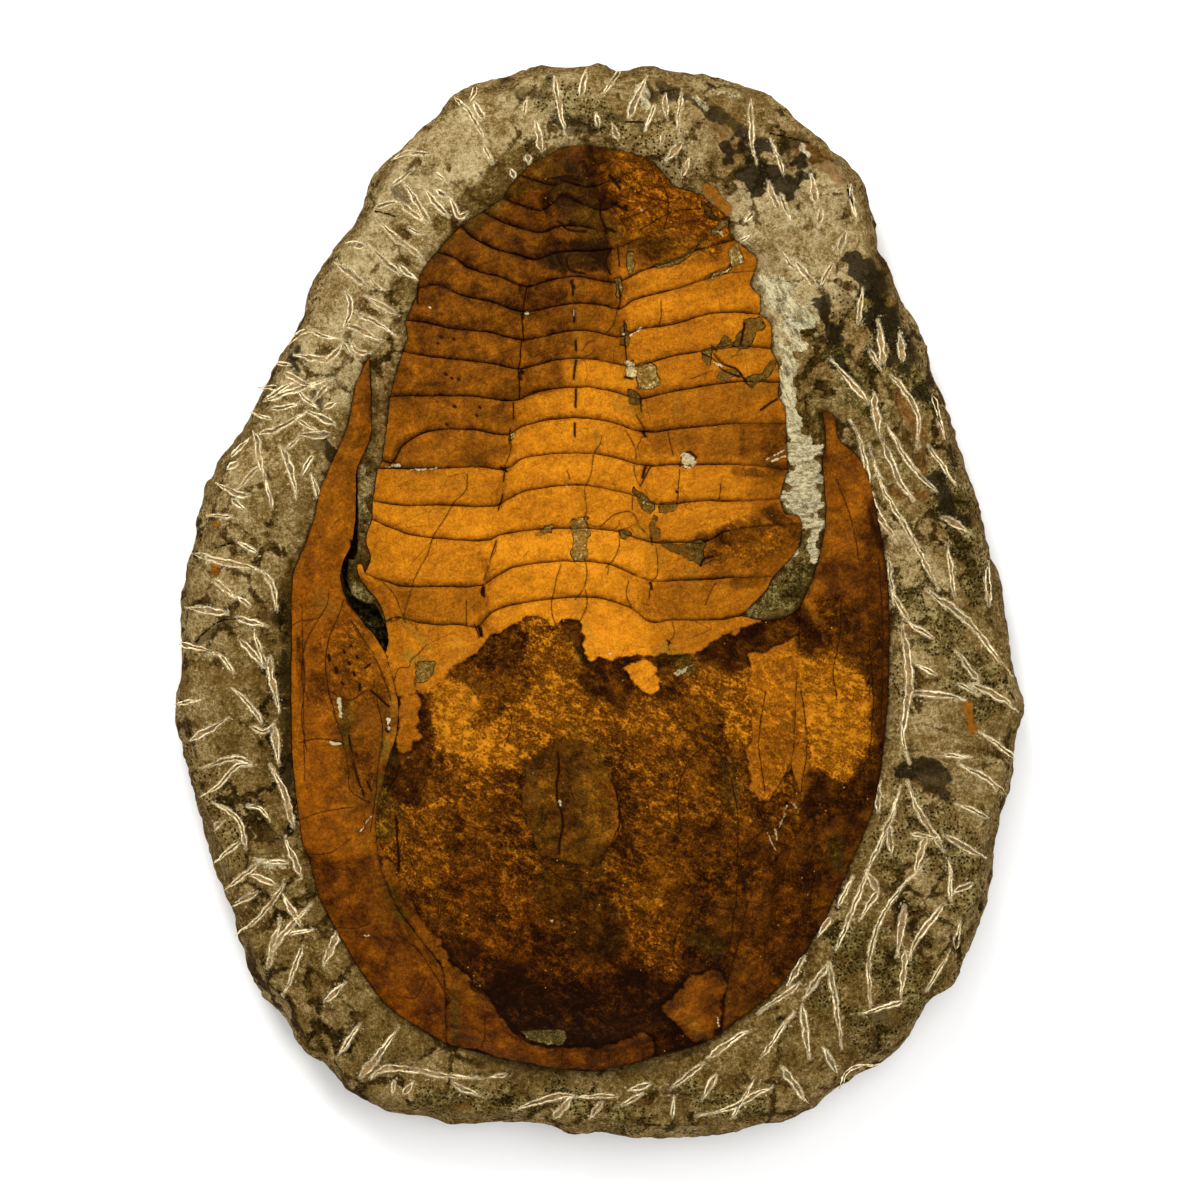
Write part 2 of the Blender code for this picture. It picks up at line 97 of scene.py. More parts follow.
# The joint lines across the body, head end first, each from the left edge to the right.
JOINT_LINES = (
    "405,619 420,623 440,625 461,625 478,627 490,615 504,608 536,601 575,598 600,599 631,609 "
    "650,622 675,620 719,620 740,616",
    "375,578 390,583 405,587 440,587 482,586 494,579 515,568 545,563 585,562 612,566 650,581 "
    "680,581 738,578 772,577",
    "373,520 388,527 410,535 438,539 488,541 503,535 530,531 575,529 615,532 650,543 680,543 "
    "703,543 729,531 760,527 801,524",
    "374,502 400,506 440,506 496,507 508,500 527,492 560,487 590,487 633,496 655,505 700,502 "
    "738,502 779,499",
    "379,469 415,470 450,469 480,468 506,470 525,459 554,455 590,455 619,460 645,467 671,466 "
    "709,466 750,466 787,471",
    "383,462 394,463 402,449 415,439 433,432 470,431 508,436 523,428 550,421 585,420 612,424 "
    "645,433 690,429 735,425 785,425",
    "391,398 430,397 473,398 515,402 535,394 560,390 588,389 612,393 640,400 673,393 715,386 "
    "745,383 779,384",
    "404,353 430,358 465,362 495,366 519,371 540,366 565,361 590,361 612,365 635,368 671,358 "
    "710,352 740,348 770,350",
    "406,322 430,325 450,330 488,334 524,342 545,338 573,333 595,334 618,339 640,331 670,327 "
    "700,318 730,314 759,316",
    "418,290 440,287 461,297 492,304 523,314 550,310 573,306 600,307 618,311 635,302 671,292 "
    "700,283 728,275 753,273",
    "437,254 455,260 470,271 500,279 527,289 550,283 575,279 600,283 618,284 640,274 675,262 "
    "705,249 735,242",
    "461,229 474,240 495,251 517,257 536,262 555,256 575,254 592,254 615,250 650,237 690,224 "
    "729,220",
    "483,214 500,223 522,231 542,235 558,230 575,229 592,231 608,233 630,220 665,205 702,197",
    "503,200 520,207 541,213 553,206 563,201 580,206 602,213 625,201 650,191 673,188",
    "520,177 538,184 555,188 566,184 585,190 603,186 630,174 655,166",
)

# What lies between neighbouring joint lines' ends.
LEFT_EDGE = (
    "395,595 386,584",
    "366,573 372,558 367,540",
    "",
    "376,485",
    "",
    "386,440 389,415",
    "398,370",
    "409,338",
    "416,300",
    "422,274",
    "448,241",
    "472,220",
    "",
    "510,189",
)
RIGHT_EDGE = (
    "765,590",
    "790,558 799,543",
    "797,516 784,514",
    "781,488",
    "786,447",
    "784,408 777,395",
    "777,366",
    "770,326",
    "759,298 750,287",
    "756,260 744,249",
    "728,232",
    "710,205",
    "",
    "667,180",
)
TAIL_EDGE = "533,165 548,158 563,149 590,148 612,151 640,158"

# The head, each line from its left or lower end.
NECK_WING = (
    "386,653 389,640 387,625 384,611 377,598 367,586 359,574 360,564 366,573"
)
NECK_RIGHT = (
    "740,616 765,620 788,616 800,606"
)
LEFT_SEAM = (
    "447,1042 446,1000 443,968 427,945 402,913 393,895 383,870 378,840 377,815 383,790 389,760 "
    "397,735 399,705 395,682 386,653"
)
RIGHT_SEAM = (
    "722,1030 724,1000 730,970 738,940 745,910 752,890 765,870 780,852 795,835 803,812 797,785 "
    "790,765 793,745 795,690 798,640 800,606"
)
FRONT_EDGE = (
    "447,1042 475,1049 500,1056 530,1062 565,1067 592,1069 632,1061 660,1053 700,1042 722,1030"
)
LEFT_CHEEK_INNER = (
    "386,653 376,637 366,625 350,602 342,580 344,562 351,548 355,530 357,500 358,470 371,438 "
    "372,400 370,357"
)
LEFT_CHEEK_OUTER = (
    "370,357 357,385 349,425 330,470 321,490 315,520 300,560 294,575 293,650 293,740 296,780 "
    "304,840 312,862 320,895 332,918 350,950 373,985 392,1007 415,1023 447,1042"
)
RIGHT_CHEEK_OUTER = (
    "722,1030 757,1003 778,985 807,945 823,920 834,895 855,850 873,805 879,770 886,705 888,640 "
    "887,600 884,560 873,500 866,475 855,455 838,440 832,415 822,412"
)
RIGHT_CHEEK_INNER = (
    "822,412 825,440 822,460 825,520 815,570 800,606"
)

# Rows down the body: the row, the axis's middle and its half width.
AXIS_ROWS = (
    (150, 578, 16), (188, 574, 24), (235, 575, 35), (290, 571, 45), (339, 573, 49),
    (399, 579, 58), (466, 576, 69), (541, 570, 81), (600, 565, 87), (660, 565, 92),
    (760, 570, 92),
)
DOME_CENTRE = (588, 838)
DOME_REACH = (200, 212)
NECK_FADE_PLACE = (590, 700)
EYE_LEFT = (352, 665)
EYE_RIGHT = (838, 720)

# Where the head's smooth outer shell ends, from left to right. Below it the crust is rough.
SHELL_END = (
    "380,700 405,695 430,690 450,672 478,650 490,638 500,633 520,622 535,615 548,618 555,625 "
    "565,620 580,622 585,640 590,658 600,660 625,655 640,655 660,655 700,648 735,632 760,620 "
    "800,606"
)

# Places below that edge where the smooth shell is still there, each a closed loop.
SHELL_ISLANDS = (
    "386,653 389,640 384,623 405,619 425,642 418,660 416,680 420,700 418,740 405,752 398,735 "
    "399,705 395,682; "
    "750,655 775,645 798,640 795,690 793,745 790,765 778,790 765,800 752,790 748,760 752,720 "
    "748,690; "
    "690,971 723,970 723,995 721,1018 698,1043 685,1029 671,1018 663,1006 675,993; "
    "378,840 392,860 402,880 415,905 440,940 469,979 485,993 496,1006 504,1016 519,1034 "
    "546,1044 575,1046 600,1044 625,1040 640,1030 650,1040 650,1056 592,1069 530,1062 475,1049 "
    "447,1042 446,1000 443,968 427,945 402,913 393,895 383,870; "
    "527,760 545,750 560,738 580,740 600,755 617,790 618,830 605,850 580,862 560,858 540,850 "
    "528,820 525,790; "
    "622,668 640,657 655,668 660,690 640,688"
)

# Cracks in the shell by their width in millimetres.
CRACKS = {
    0.2: (
        "602,437 600,445 594,455 592,470 588,483 585,488 586,500 587,510 585,520 589,525 600,527 "
        "608,520 615,515 631,513 640,528 645,532; 626,432 635,450 636,460; 644,435 636,450; "
        "634,465 635,475 640,487; 633,497 632,510; 619,535 619,547 613,560 606,568; 585,560 "
        "587,575 583,590 575,600; 586,590 587,605 583,615 580,622; 561,565 557,578 555,590 552,600 "
        "552,612 556,625; 608,568 608,575; 617,312 614,325 607,335; 582,352 590,343 595,343; "
        "661,303 661,315 659,325; 467,600 467,625; 468,475 467,490 455,503 445,520 436,533 433,540 "
        "428,555 420,570 416,577 412,590 409,600 405,615; 700,567 713,560; 497,541 496,550 491,560 "
        "488,571; 511,436 511,452 505,467; 636,416 643,428 645,437; 668,431 669,440 673,457; "
        "679,470 678,490 676,505; 656,548 657,575 652,582; 650,585 649,600; 629,580 626,595 "
        "631,608; 672,622 674,635 668,642 669,650; 427,645 418,655 412,660 409,667 400,668 "
        "395,680; 704,279 715,273 729,268; 455,199 464,191; 293,626 300,622 310,620 320,618 "
        "328,605 330,592; 319,620 312,632 306,645 303,680 310,700; 301,819 320,812 335,809 "
        "356,806; 309,853 330,852 346,842 352,838; 335,926 355,927 372,921; 427,975 416,996 "
        "405,995; 398,933 388,952; 443,968 447,995 446,1033; 483,1004 486,1029 482,1045; 562,1045 "
        "562,1062; 600,1038 600,1060; 790,762 775,790 770,797; 788,780 794,790 793,800; 303,605 "
        "304,650 305,720 306,780; 705,605 710,592 716,583; 720,485 719,500; 567,472 570,480; "
        "690,380 712,372"
    ),
    0.42: (
        "519,372 520,400; 514,404 514,420; 522,342 521,358 519,371; 522,314 524,342; "
        "527,290 523,314; 511,430 510,445; 506,468 504,482; 503,495 499,511; "
        "497,541 493,552 488,571 485,580; 475,625 480,637; 624,322 625,345 627,366; "
        "640,400 641,412; 650,467 646,476 640,487; 618,284 620,300 618,311; 618,250 619,268; "
        "701,355 712,360 722,371 740,378; 652,545 651,538; 484,588 482,596; "
        "400,765 396,778 388,790; 617,795 620,812 618,830; "
        "469,979 485,993 496,1006 504,1016 510,1025 519,1034 531,1041 546,1044 561,1045"
    ),
    0.7: (
        "558,752 559,770 557,785 558,800 562,812 563,825 560,840 559,852; 484,587 482,592; "
        "481,628 482,636; 573,283 573,298; 574,312 574,324; 576,343 576,352; 576,363 574,380; "
        "576,391 576,408; 575,425 575,437; 350,735 358,775 365,795; 397,815 399,845 400,870; "
        "368,780 372,790; 553,180 578,182; 418,287 418,305; 700,566 703,560 712,557; "
        "714,356 722,365 735,370 746,382; 760,411 768,405 776,400; 682,458 689,453 695,458; "
        "625,378 632,380; 716,352 712,348; 744,325 740,345; 556,180 570,186 580,188; "
        "560,225 568,232 585,234; 566,262 570,272 585,276; 605,195 600,215 606,230; "
        "612,250 606,262 610,276; 372,690 390,706; 345,590 350,604 360,614"
    ),
    1.0: (
        "556,180 572,179; 558,201 566,198 576,203; 610,178 620,190; 612,205 626,212; "
        "606,230 614,233; 556,257 561,268; 643,434 645,437; 645,469 643,478; 650,583 651,589; "
        "502,469 506,472; 668,641 669,643; 483,590 484,596; 479,628 481,634; 524,314 523,320; "
        "520,374 521,380; 572,284 574,290"
    ),
    0.24: (
        "345,600 338,620 330,640 327,660 330,690 336,712; 335,712 344,740 350,770 352,790 372,802; "
        "303,640 306,680 303,720 308,750; 378,700 384,730 380,760 376,800 372,830; "
        "352,620 372,650 386,680 392,700; 300,742 320,738 345,742; 330,690 350,700 366,690; "
        "868,640 872,700 868,760; 878,560 882,640 880,720; 840,600 838,640 832,670 836,700; "
        "835,480 850,520 858,560; 708,742 722,758 732,785 737,820 736,860; "
        "762,830 742,850 735,900 728,950; 692,908 677,930 673,955 690,975; "
        "616,788 620,815 612,842; 704,745 688,760 678,790 680,830; 800,690 806,740 800,790; "
        "765,690 758,740 764,790; 620,180 640,196 668,204; 640,232 672,214 700,210; "
        "610,205 628,232; 660,180 668,206 664,232; 545,860 560,875 590,880; "
        "500,700 512,716 508,740; 396,930 420,950 440,980 452,1000"
    ),
}

# Marks of the chisel round the fossil, each from end to end.
CHISEL_MARKS = (
    "391,161 405,155 430,155; 393,187 415,170; 403,181 415,200 430,225; 423,186 435,203 449,218; "
    "435,174 450,186; 436,190 446,197; 375,209 390,204 402,204; 402,205 415,216 427,225; "
    "376,220 395,237 423,260; 410,230 425,236; 346,244 365,247; 367,244 380,256 400,275; "
    "400,267 420,283; 334,263 350,274 366,287; 346,292 352,305 350,318 341,334; "
    "370,280 378,289 387,292; 366,297 380,305 398,316; 356,313 375,323 397,337; "
    "344,326 360,331 382,342; 450,197 455,210 460,218 468,214; 290,346 300,335 310,331 325,338 "
    "344,340; 294,355 330,362; 344,343 338,352 324,364; 345,345 352,355; 352,342 358,352 "
    "368,353; 277,364 292,366; 285,373 305,384 318,388; 338,378 303,388 264,402; "
    "265,400 297,381; 316,400 327,387; 258,388 278,388; 298,391 320,410; 338,403 326,409; "
    "273,410 300,404; 250,412 273,420; 259,435 275,430 293,422 308,412; 300,422 320,433; "
    "308,412 335,424; 254,431 258,440 260,455 265,480; 252,437 232,457; 238,463 227,470; "
    "259,468 237,491; 266,478 274,508; 281,447 288,460 294,480 297,500; 300,439 290,448; "
    "300,436 330,435; 313,457 303,475; 312,475 320,498; 216,483 240,495 249,495; "
    "234,500 247,510; 207,516 233,517; 192,553 220,561 240,565 265,572; 266,573 273,585 "
    "278,610; 237,540 258,553; 215,580 237,598; 239,596 252,607; 185,607 229,613; "
    "238,618 270,627; 256,628 258,640 268,665; 242,640 265,665; 181,643 212,651; "
    "206,655 220,655 235,674; 271,657 272,672 276,690 280,712; 233,688 250,703 263,722; "
    "175,704 203,699; 230,718 190,741; 253,726 265,731 275,722; 275,725 280,762; "
    "201,768 235,758 253,762; 253,765 240,764 220,785 201,797; 272,764 285,790 294,825; "
    "213,800 238,818 248,848; 248,805 262,808 272,820; 225,820 212,830; 240,842 215,862; "
    "262,861 288,861; 285,835 302,874; 260,862 225,890; 250,872 276,884; 258,892 231,906; "
    "285,883 263,913 236,935; 283,892 302,925; 313,902 285,932 270,957; 290,933 314,929; "
    "281,918 268,968; 304,943 292,978 283,996; 338,932 325,965; 346,981 325,1000; "
    "360,1022 338,1056; 400,1025 380,1052 361,1076; 371,1077 385,1068 405,1067 445,1074 "
    "484,1077; 395,1079 393,1094; 414,1080 404,1093; 452,1081 480,1095; 490,1075 505,1073; "
    "514,1110 545,1098 575,1093; 575,1095 618,1095; 574,1093 554,1117; 602,1102 589,1118; "
    "642,1092 621,1104; 650,1082 628,1089; 704,1061 669,1088; 673,1095 672,1115; "
    "716,1073 701,1098; 697,1115 725,1108 772,1085; 755,1075 730,1118; 708,1056 735,1036 "
    "750,1028; 758,1012 770,1003 799,982; 803,955 786,985; 827,963 802,998; 793,1010 760,1056; "
    "802,1005 808,1057; 828,960 836,1010 841,1047; 852,875 837,905; 829,917 817,936; "
    "871,860 855,900 835,950; 866,870 878,892; 878,890 858,918; 925,860 890,900 870,945 "
    "869,1008; 903,905 896,955; 904,950 900,998; 948,860 950,900; 943,902 915,940 908,958; "
    "958,920 955,948; 950,950 925,990; 972,882 952,892; 859,1013 905,1000; 781,1065 808,1103; "
    "821,1045 837,1072; 838,1087 850,1068 880,1063; 925,590 965,620 1000,663 1012,677; "
    "889,590 908,620; 901,625 908,680 902,735 908,762; 905,621 932,638; 914,664 935,675; "
    "909,693 945,695 965,700; 954,650 977,681; 957,683 977,695; 968,683 1000,698 1018,712; "
    "978,731 1015,758; 941,754 970,757; 957,762 985,778 1005,795; 955,803 988,817; "
    "944,835 985,858; 906,780 920,815 943,850; 900,785 886,825 866,870; 888,825 890,855; "
    "878,780 877,810; 910,832 940,840; 925,835 912,875; 830,360 868,405; 873,395 877,430 "
    "883,442; 850,420 862,450 870,500 896,543; 868,445 880,485 903,525 938,590; "
    "883,445 900,485 913,500; 886,425 907,462 935,492; 927,445 955,485; 940,517 970,533; "
    "946,545 953,595; 887,558 893,605; 877,320 883,365; 868,350 880,370; 898,333 902,362; "
    "890,375 915,410 917,450; 932,395 944,440; 987,560 988,605; 750,100 752,150 756,165; "
    "770,140 783,175; 767,183 778,210; 779,195 790,222; 810,175 816,205; 820,210 818,228; "
    "850,185 852,205 856,220; 846,231 838,250; 831,265 819,288; 782,253 793,273; "
    "793,260 815,288; 752,215 743,224; 750,236 740,242; 862,290 857,325; 454,98 470,115 "
    "487,145; 474,104 483,119; 477,88 471,103; 485,150 493,165; 535,120 542,152; "
    "554,78 561,115 566,140; 528,100 524,115; 587,68 581,97; 620,71 602,97; 647,76 628,120; "
    "665,95 667,122; 682,95 676,132; 655,107 645,133; 612,125 618,140; 596,115 598,128; "
    "682,145 665,163; 690,158 682,178; 664,137 660,147; 527,157 530,165; 511,170 515,179"
)
ROCK_CRACKS = (
    "197,642 205,633 215,625 225,620 240,619; 215,549 240,541; 626,124 643,124; "
    "770,135 800,142 830,150 845,170 850,200 870,220; 375,212 388,215 398,218"
)

# Finishes laid on as patches: each from one place to another with a reach in pixels, then the
# finish's strength there. The tones blend into each other; of the others, later ones cover
# earlier ones.
# The shell's tones carry painted shade as well as its own colour: darker at the foot of the head's
# dome and along the right cheek's outer edge.
SHELL_TONE = (
    "520,172 545,160 12 .42; 562,170 590,170 9 .27; 600,160 615,200 9 .36; 625,165 650,170 12 .56; "
    "485,208 535,200 13 .38; 556,195 598,200 9 .27; 625,190 690,200 16 .67; "
    "462,230 525,235 13 .38; 558,220 598,225 9 .37; 620,222 715,222 14 .60; "
    "440,262 515,262 13 .42; 553,255 600,258 9 .15; 620,250 655,250 10 .42; 672,262 738,248 8 .66; "
    "425,290 505,285 11 .44; 535,285 560,290 8 .36; 578,285 608,290 8 .50; 645,285 745,280 9 .73; "
    "425,312 510,315 9 .42; 530,315 562,318 9 .46; 582,318 610,322 9 .56; 640,308 755,300 9 .80; "
    "412,338 515,345 10 .48; 532,342 562,342 9 .42; 585,345 620,345 9 .62; 640,335 765,325 10 .75; "
    "405,375 510,380 12 .50; 530,378 556,378 10 .50; 572,378 625,378 10 .84; "
    "655,372 770,368 10 .73; 400,412 505,412 12 .54; 528,412 556,408 10 .80; "
    "572,410 625,410 10 .84; 650,408 770,400 12 .65; 400,448 500,450 12 .53; "
    "520,442 630,442 12 .84; 650,440 722,440 12 .62; 752,440 782,445 12 .52; "
    "385,488 490,488 12 .77; 515,475 635,475 12 .84; 655,480 735,480 12 .77; "
    "755,485 780,490 12 .64; 380,522 480,522 12 .84; 500,515 635,515 12 .83; "
    "660,518 740,515 12 .79; 755,518 790,520 8 .56; 375,560 480,560 14 .79; "
    "498,555 640,555 14 .90; 655,558 692,560 10 .76; 705,560 790,555 12 .60; "
    "388,598 470,600 12 .65; 500,592 640,592 14 .84; 655,598 705,600 12 .63; "
    "712,598 745,600 10 .72; 400,640 470,640 16 .76; 590,640 650,642 16 .88; "
    "665,640 740,632 12 .72; 510,610 560,610 8 .84; 300,580 345,590 16 .56; 296,620 298,780 6 .66; "
    "315,640 325,760 14 .56; 350,640 365,700 14 .54; 345,730 370,800 14 .46; "
    "305,800 340,840 14 .54; 318,880 370,900 20 .40; 345,940 390,960 18 .41; "
    "400,1000 440,1030 14 .42; 345,460 325,530 14 .56; 365,380 352,430 10 .46; "
    "395,610 396,660 8 .66; 405,680 405,750 8 .66; 385,790 395,870 8 .48; 410,915 440,960 8 .44; "
    "455,985 500,1040 14 .42; 530,1050 640,1054 10 .34; 660,1050 710,1036 10 .30; "
    "690,985 710,1020 14 .48; 845,470 850,540 14 .52; 852,585 865,640 16 .33; "
    "830,440 835,470 10 .40; 815,600 830,640 14 .40; 835,680 845,740 18 .88; "
    "872,520 887,765 8 .26; 872,760 850,830 10 .24; 815,800 830,830 14 .25; "
    "810,850 770,930 22 .34; 760,950 735,1000 16 .38; 765,660 785,700 14 .70; "
    "765,720 785,790 14 .66; 560,760 560,850 14 .36; 600,770 606,800 10 .52; 545,770 545,830 8 .38"
)
CRUST_TONE = (
    "440,690 470,740 14 .90; 500,735 480,750 10 .84; 450,665 480,670 8 .50; "
    "490,680 520,690 10 .46; 485,715 510,712 8 .48; 520,715 560,700 14 .70; "
    "540,640 565,650 10 .62; 490,655 520,640 8 .34; 575,630 590,660 6 .30; 600,675 640,690 12 .34; "
    "640,700 650,740 12 .66; 590,720 630,730 12 .62; 690,700 710,690 12 .66; "
    "735,690 745,720 10 .74; 720,660 765,635 8 .34; 670,680 700,720 10 .44; 420,700 415,790 8 .30; "
    "440,780 480,790 14 .54; 480,830 520,850 16 .48; 410,830 430,860 14 .58; "
    "505,790 515,830 8 .42; 640,770 690,800 16 .52; 720,760 740,800 12 .46; 620,780 625,840 8 .36; "
    "640,840 690,850 16 .48; 710,850 740,870 14 .36; 450,900 520,920 18 .44; "
    "560,890 600,900 16 .38; 640,900 660,950 14 .52; 700,900 740,920 16 .34; "
    "760,840 800,890 12 .36; 780,800 795,830 8 .44; 460,950 480,970 10 .26; "
    "540,950 610,960 18 .31; 510,990 600,1005 16 .10; 630,985 660,1010 12 .14; "
    "700,950 720,970 12 .28; 730,960 740,1010 10 .32; 530,1035 620,1035 5 .08"
)
# Darker patches: stains in the shell, and painted shade, as in the band just above a joint line
# across the axis and along the right cheek's outer edge.
SHELL_STAINS_AND_SHADE = (
    "742,425 742,470 3 -.06; 765,430 775,470 14 -.10; 735,472 760,474 4 -.22; "
    "700,540 760,530 8 -.22; 690,545 720,562 7 -.14; 770,515 795,530 8 -.16; "
    "735,585 760,580 6 -.12; 600,880 520,930 14 -.05; 318,655 322,690 8 -.12; "
    "335,690 350,700 8 -.10; 376,690 392,720 7 -.12; 300,640 302,700 3 -.14; "
    "640,255 700,235 10 -.08; 604,190 612,230 8 -.14; 520,245 526,300 5 -.10; "
    "716,655 762,625 6 -.10; 480,620 495,632 4 -.12; 868,500 885,560 5 -.12; "
    "800,610 812,640 7 -.14; 552,420 600,418 3 -.06; 500,505 506,470 4 -.12; 485,560 490,585 3 -.10"
)
SHELL_GRAIN = (
    "835,660 845,780 44 1; 800,860 770,940 40 .8; 345,650 365,680 26 .45; 615,175 715,215 34 .95; "
    "620,225 708,238 16 .9; 772,660 772,790 26 .4; 480,170 545,200 24 .5; 555,175 600,225 22 .4; "
    "330,700 370,790 22 .35; 650,245 690,235 14 .7; 730,545 785,530 20 .55; 560,750 590,840 46 .5; "
    "430,300 500,310 30 .15"
)
# Places where the joints between the plates are filled and hardly show.
SHELL_SEALED = (
    "610,170 700,200 34 .95; 620,235 715,222 22 .95; 735,425 785,425 9 .7; 745,470 785,470 7 .6; "
    "745,502 785,500 6 .6; 740,527 800,524 7 .8; 745,578 775,577 8 .7; 640,581 660,581 4 .5; "
    "735,275 755,272 6 .6; 660,285 700,280 8 .4; 640,612 700,622 8 .4; 540,455 590,455 5 .35; "
    "585,487 630,495 6 .3; 425,287 445,288 6 .5"
)
# Pieces of stone that fill holes in the shell: how pale, then the closed loop.
FILLERS = (
    (0.66, "638,370 645,366 655,367 659,374 658,384 652,390 643,390 637,384 636,376"),
    (0.92, "625,373 628,367 632,363 636,366 637,372 636,378 630,379 626,377"),
    (0.66, "572,520 580,518 586,519 589,530 588,545 586,560 576,561 573,562 572,550 572,535"),
    (0.4, "635,487 641,491 650,500 652,510 648,515 641,508 635,497 632,492"),
    (0.42, "656,506 662,503 676,504 678,508 672,514 660,514"),
    (0.4, "651,520 655,516 658,526 656,540 650,538 648,530"),
    (0.32, "660,541 680,543 700,541 704,546 703,562 690,560 672,552 662,547"),
    (1.0, "682,457 684,454 690,457 695,458 690,465 686,467 682,464"),
    (0.45, "703,352 710,350 712,362 708,368 704,364"),
    (0.5, "716,376 722,371 732,371 738,376 730,380 722,383"),
    (0.38, "715,348 722,338 730,340 729,346"),
    (0.36, "742,322 752,318 760,320 764,328 755,335 745,348 738,350 733,344 739,335"),
    (0.4, "744,380 752,376 762,372 768,365 775,358 771,374 760,384 750,388"),
    (0.8, "703,283 715,274 730,268 729,271 716,278"),
    (0.74, "729,267 731,262 728,256 732,248 738,247 742,258 740,266"),
    (0.46, "651,269 665,264 673,262 690,252 702,243 699,249 690,257 676,267 660,270"),
    (0.6, "712,238 722,231 728,226 722,223 714,227 711,233"),
    (0.28, "702,202 708,206 714,216 722,222 716,222 706,214"),
    (0.62, "627,252 633,257 634,272 629,275 626,264"),
    (0.52, "616,280 622,279 622,290 618,297 616,290"),
    (0.48, "622,328 627,325 627,342 623,348 620,338"),
    (0.34, "629,391 638,392 640,404 632,405"),
    (0.58, "535,534 545,528 553,526 548,533"),
    (0.42, "618,530 626,531 631,537 622,540"),
    (0.7, "511,432 516,434 514,442 510,440"),
    (0.52, "418,662 428,660 437,662 436,668 428,680 419,682 416,672"),
    (0.62, "520,1029 540,1027 565,1030 563,1042 545,1044 530,1038"),
)
SHELL_OLIVE = (
    "468,228 545,168 7 .6; 430,262 462,236 5 .4; 552,165 600,235 20 .55; 555,262 598,262 10 .4; "
    "575,760 578,850 34 .35; 622,402 640,412 8 .4; 678,400 680,415 5 .4; 402,620 428,645 5 .5; "
    "345,700 352,715 8 .5; 392,700 390,730 8 .4; 380,795 400,812 9 .5; 720,345 745,350 10 .3; "
    "660,655 690,662 9 .5; 575,600 590,640 6 .3; 690,572 694,582 5 .5; 455,985 455,1055 4 .5; "
    "700,1032 690,1020 7 .4; 320,600 330,610 9 .4; 640,250 700,245 10 .3; 745,392 765,388 8 .3; "
    "400,480 470,484 8 .15; 420,512 440,516 6 .2; 455,640 470,655 7 .2; 470,680 478,690 7 .35; "
    "540,765 545,830 15 .5; 586,760 588,845 16 .45; 345,712 349,745 5 .9; 388,745 392,765 7 .9; "
    "386,780 384,835 7 .8; 390,885 402,912 6 .8; 456,1000 458,1052 4 .8; 728,765 732,800 9 .6; "
    "700,935 712,940 13 .7; 836,842 838,862 8 .9; 560,890 600,930 26 .35; 664,650 688,668 8 .8; "
    "572,640 580,660 5 .6; 660,560 640,530 6 .3; 574,285 577,405 2 .5; 410,655 432,668 6 .7; "
    "590,860 598,868 8 .5; 596,432 597,448 2 .8"
)
SHELL_RED = (
    "300,560 300,760 40 .45; 300,780 330,900 40 .5; 350,900 420,1010 36 .6; "
    "430,1000 480,1040 30 .8; 480,1035 600,1055 16 .7; 600,1050 700,1030 18 .7; "
    "500,920 650,980 60 .6; 760,880 780,960 40 .5; 640,200 700,215 22 .5; "
    "690,985 712,1020 20 .6; 840,470 850,620 26 .3"
)
# Pale flecks in the shell, and painted glints, such as the two small bright dots on the body.
SHELL_FLECKS_AND_GLINTS = (
    "630,337 640,330 1.3 1; 684,459 690,463 4 1; 430,308 431,309 1.1 1; 526,315 528,315 1.2 1; "
    "340,699 343,716 1.8 .9; 332,742 340,744 1.8 .9; 389,718 390,728 1.6 .9; "
    "560,800 561,803 1.2 1; 513,433 515,438 1.3 .9; 386,468 400,466 1.2 .8; 408,471 438,469 .9 .8; "
    "622,336 624,335 1.1 .8; 551,919 552,919 1.1 1; 765,828 775,850 .9 .8; 774,828 777,842 .9 .8; "
    "779,825 786,805 1 .8; 790,800 797,810 .9 .7; 641,212 642,212 1.1 1; 675,673 684,670 2 .8; "
    "686,668 692,665 1.2 .7; 362,830 372,815 .9 .7; 584,533 586,535 1.3 1; 714,364 722,368 1 1; "
    "643,503 646,500 1.4 .9; 565,486 567,486 1 .8; 611,653 616,653 1.6 .6; 627,365 632,372 3 .7; "
    "766,460 784,450 .9 .8; 770,462 784,457 .9 .8; 340,836 352,826 .8 .5; 717,1015 718,1024 .9 .7; "
    "363,934 370,935 2 .5; 740,263 741,258 1.2 .6; 718,232 722,236 1.6 .7; 574,312 574,318 .8 .8; "
    "388,836 392,830 .8 .6"
)
SHELL_PITS = (
    "441,338 442,339 1.6; 454,340 455,341 1.8; 438,344 439,345 1.4; 446,375 447,376 2; "
    "452,379 453,380 1.6; 459,380 460,381 1.8; 455,407 456,408 2.2; 480,408 481,409 1.6; "
    "477,416 478,417 1.8; 447,425 448,426 1.6; 330,655 331,660 2; 345,650 346,653 1.6; "
    "350,662 351,664 1.8; 358,656 359,658 1.6; 361,684 361,690 2; 337,668 338,672 2.6; "
    "366,668 371,664 1.5; 355,672 356,675 1.6; 343,682 345,684 1.6; 352,645 353,646 1.4; "
    "388,729 389,730 3; 352,541 354,549 2; 619,183 620,184 2; 625,208 626,209 2; "
    "605,233 606,234 2; 561,198 563,199 3; 679,466 680,467 1.4; 676,492 677,493 1.6; "
    "522,373 523,374 2.6; 484,588 483,593 2.4; 481,630 482,635 2.4; 604,228 605,229 1.4"
)
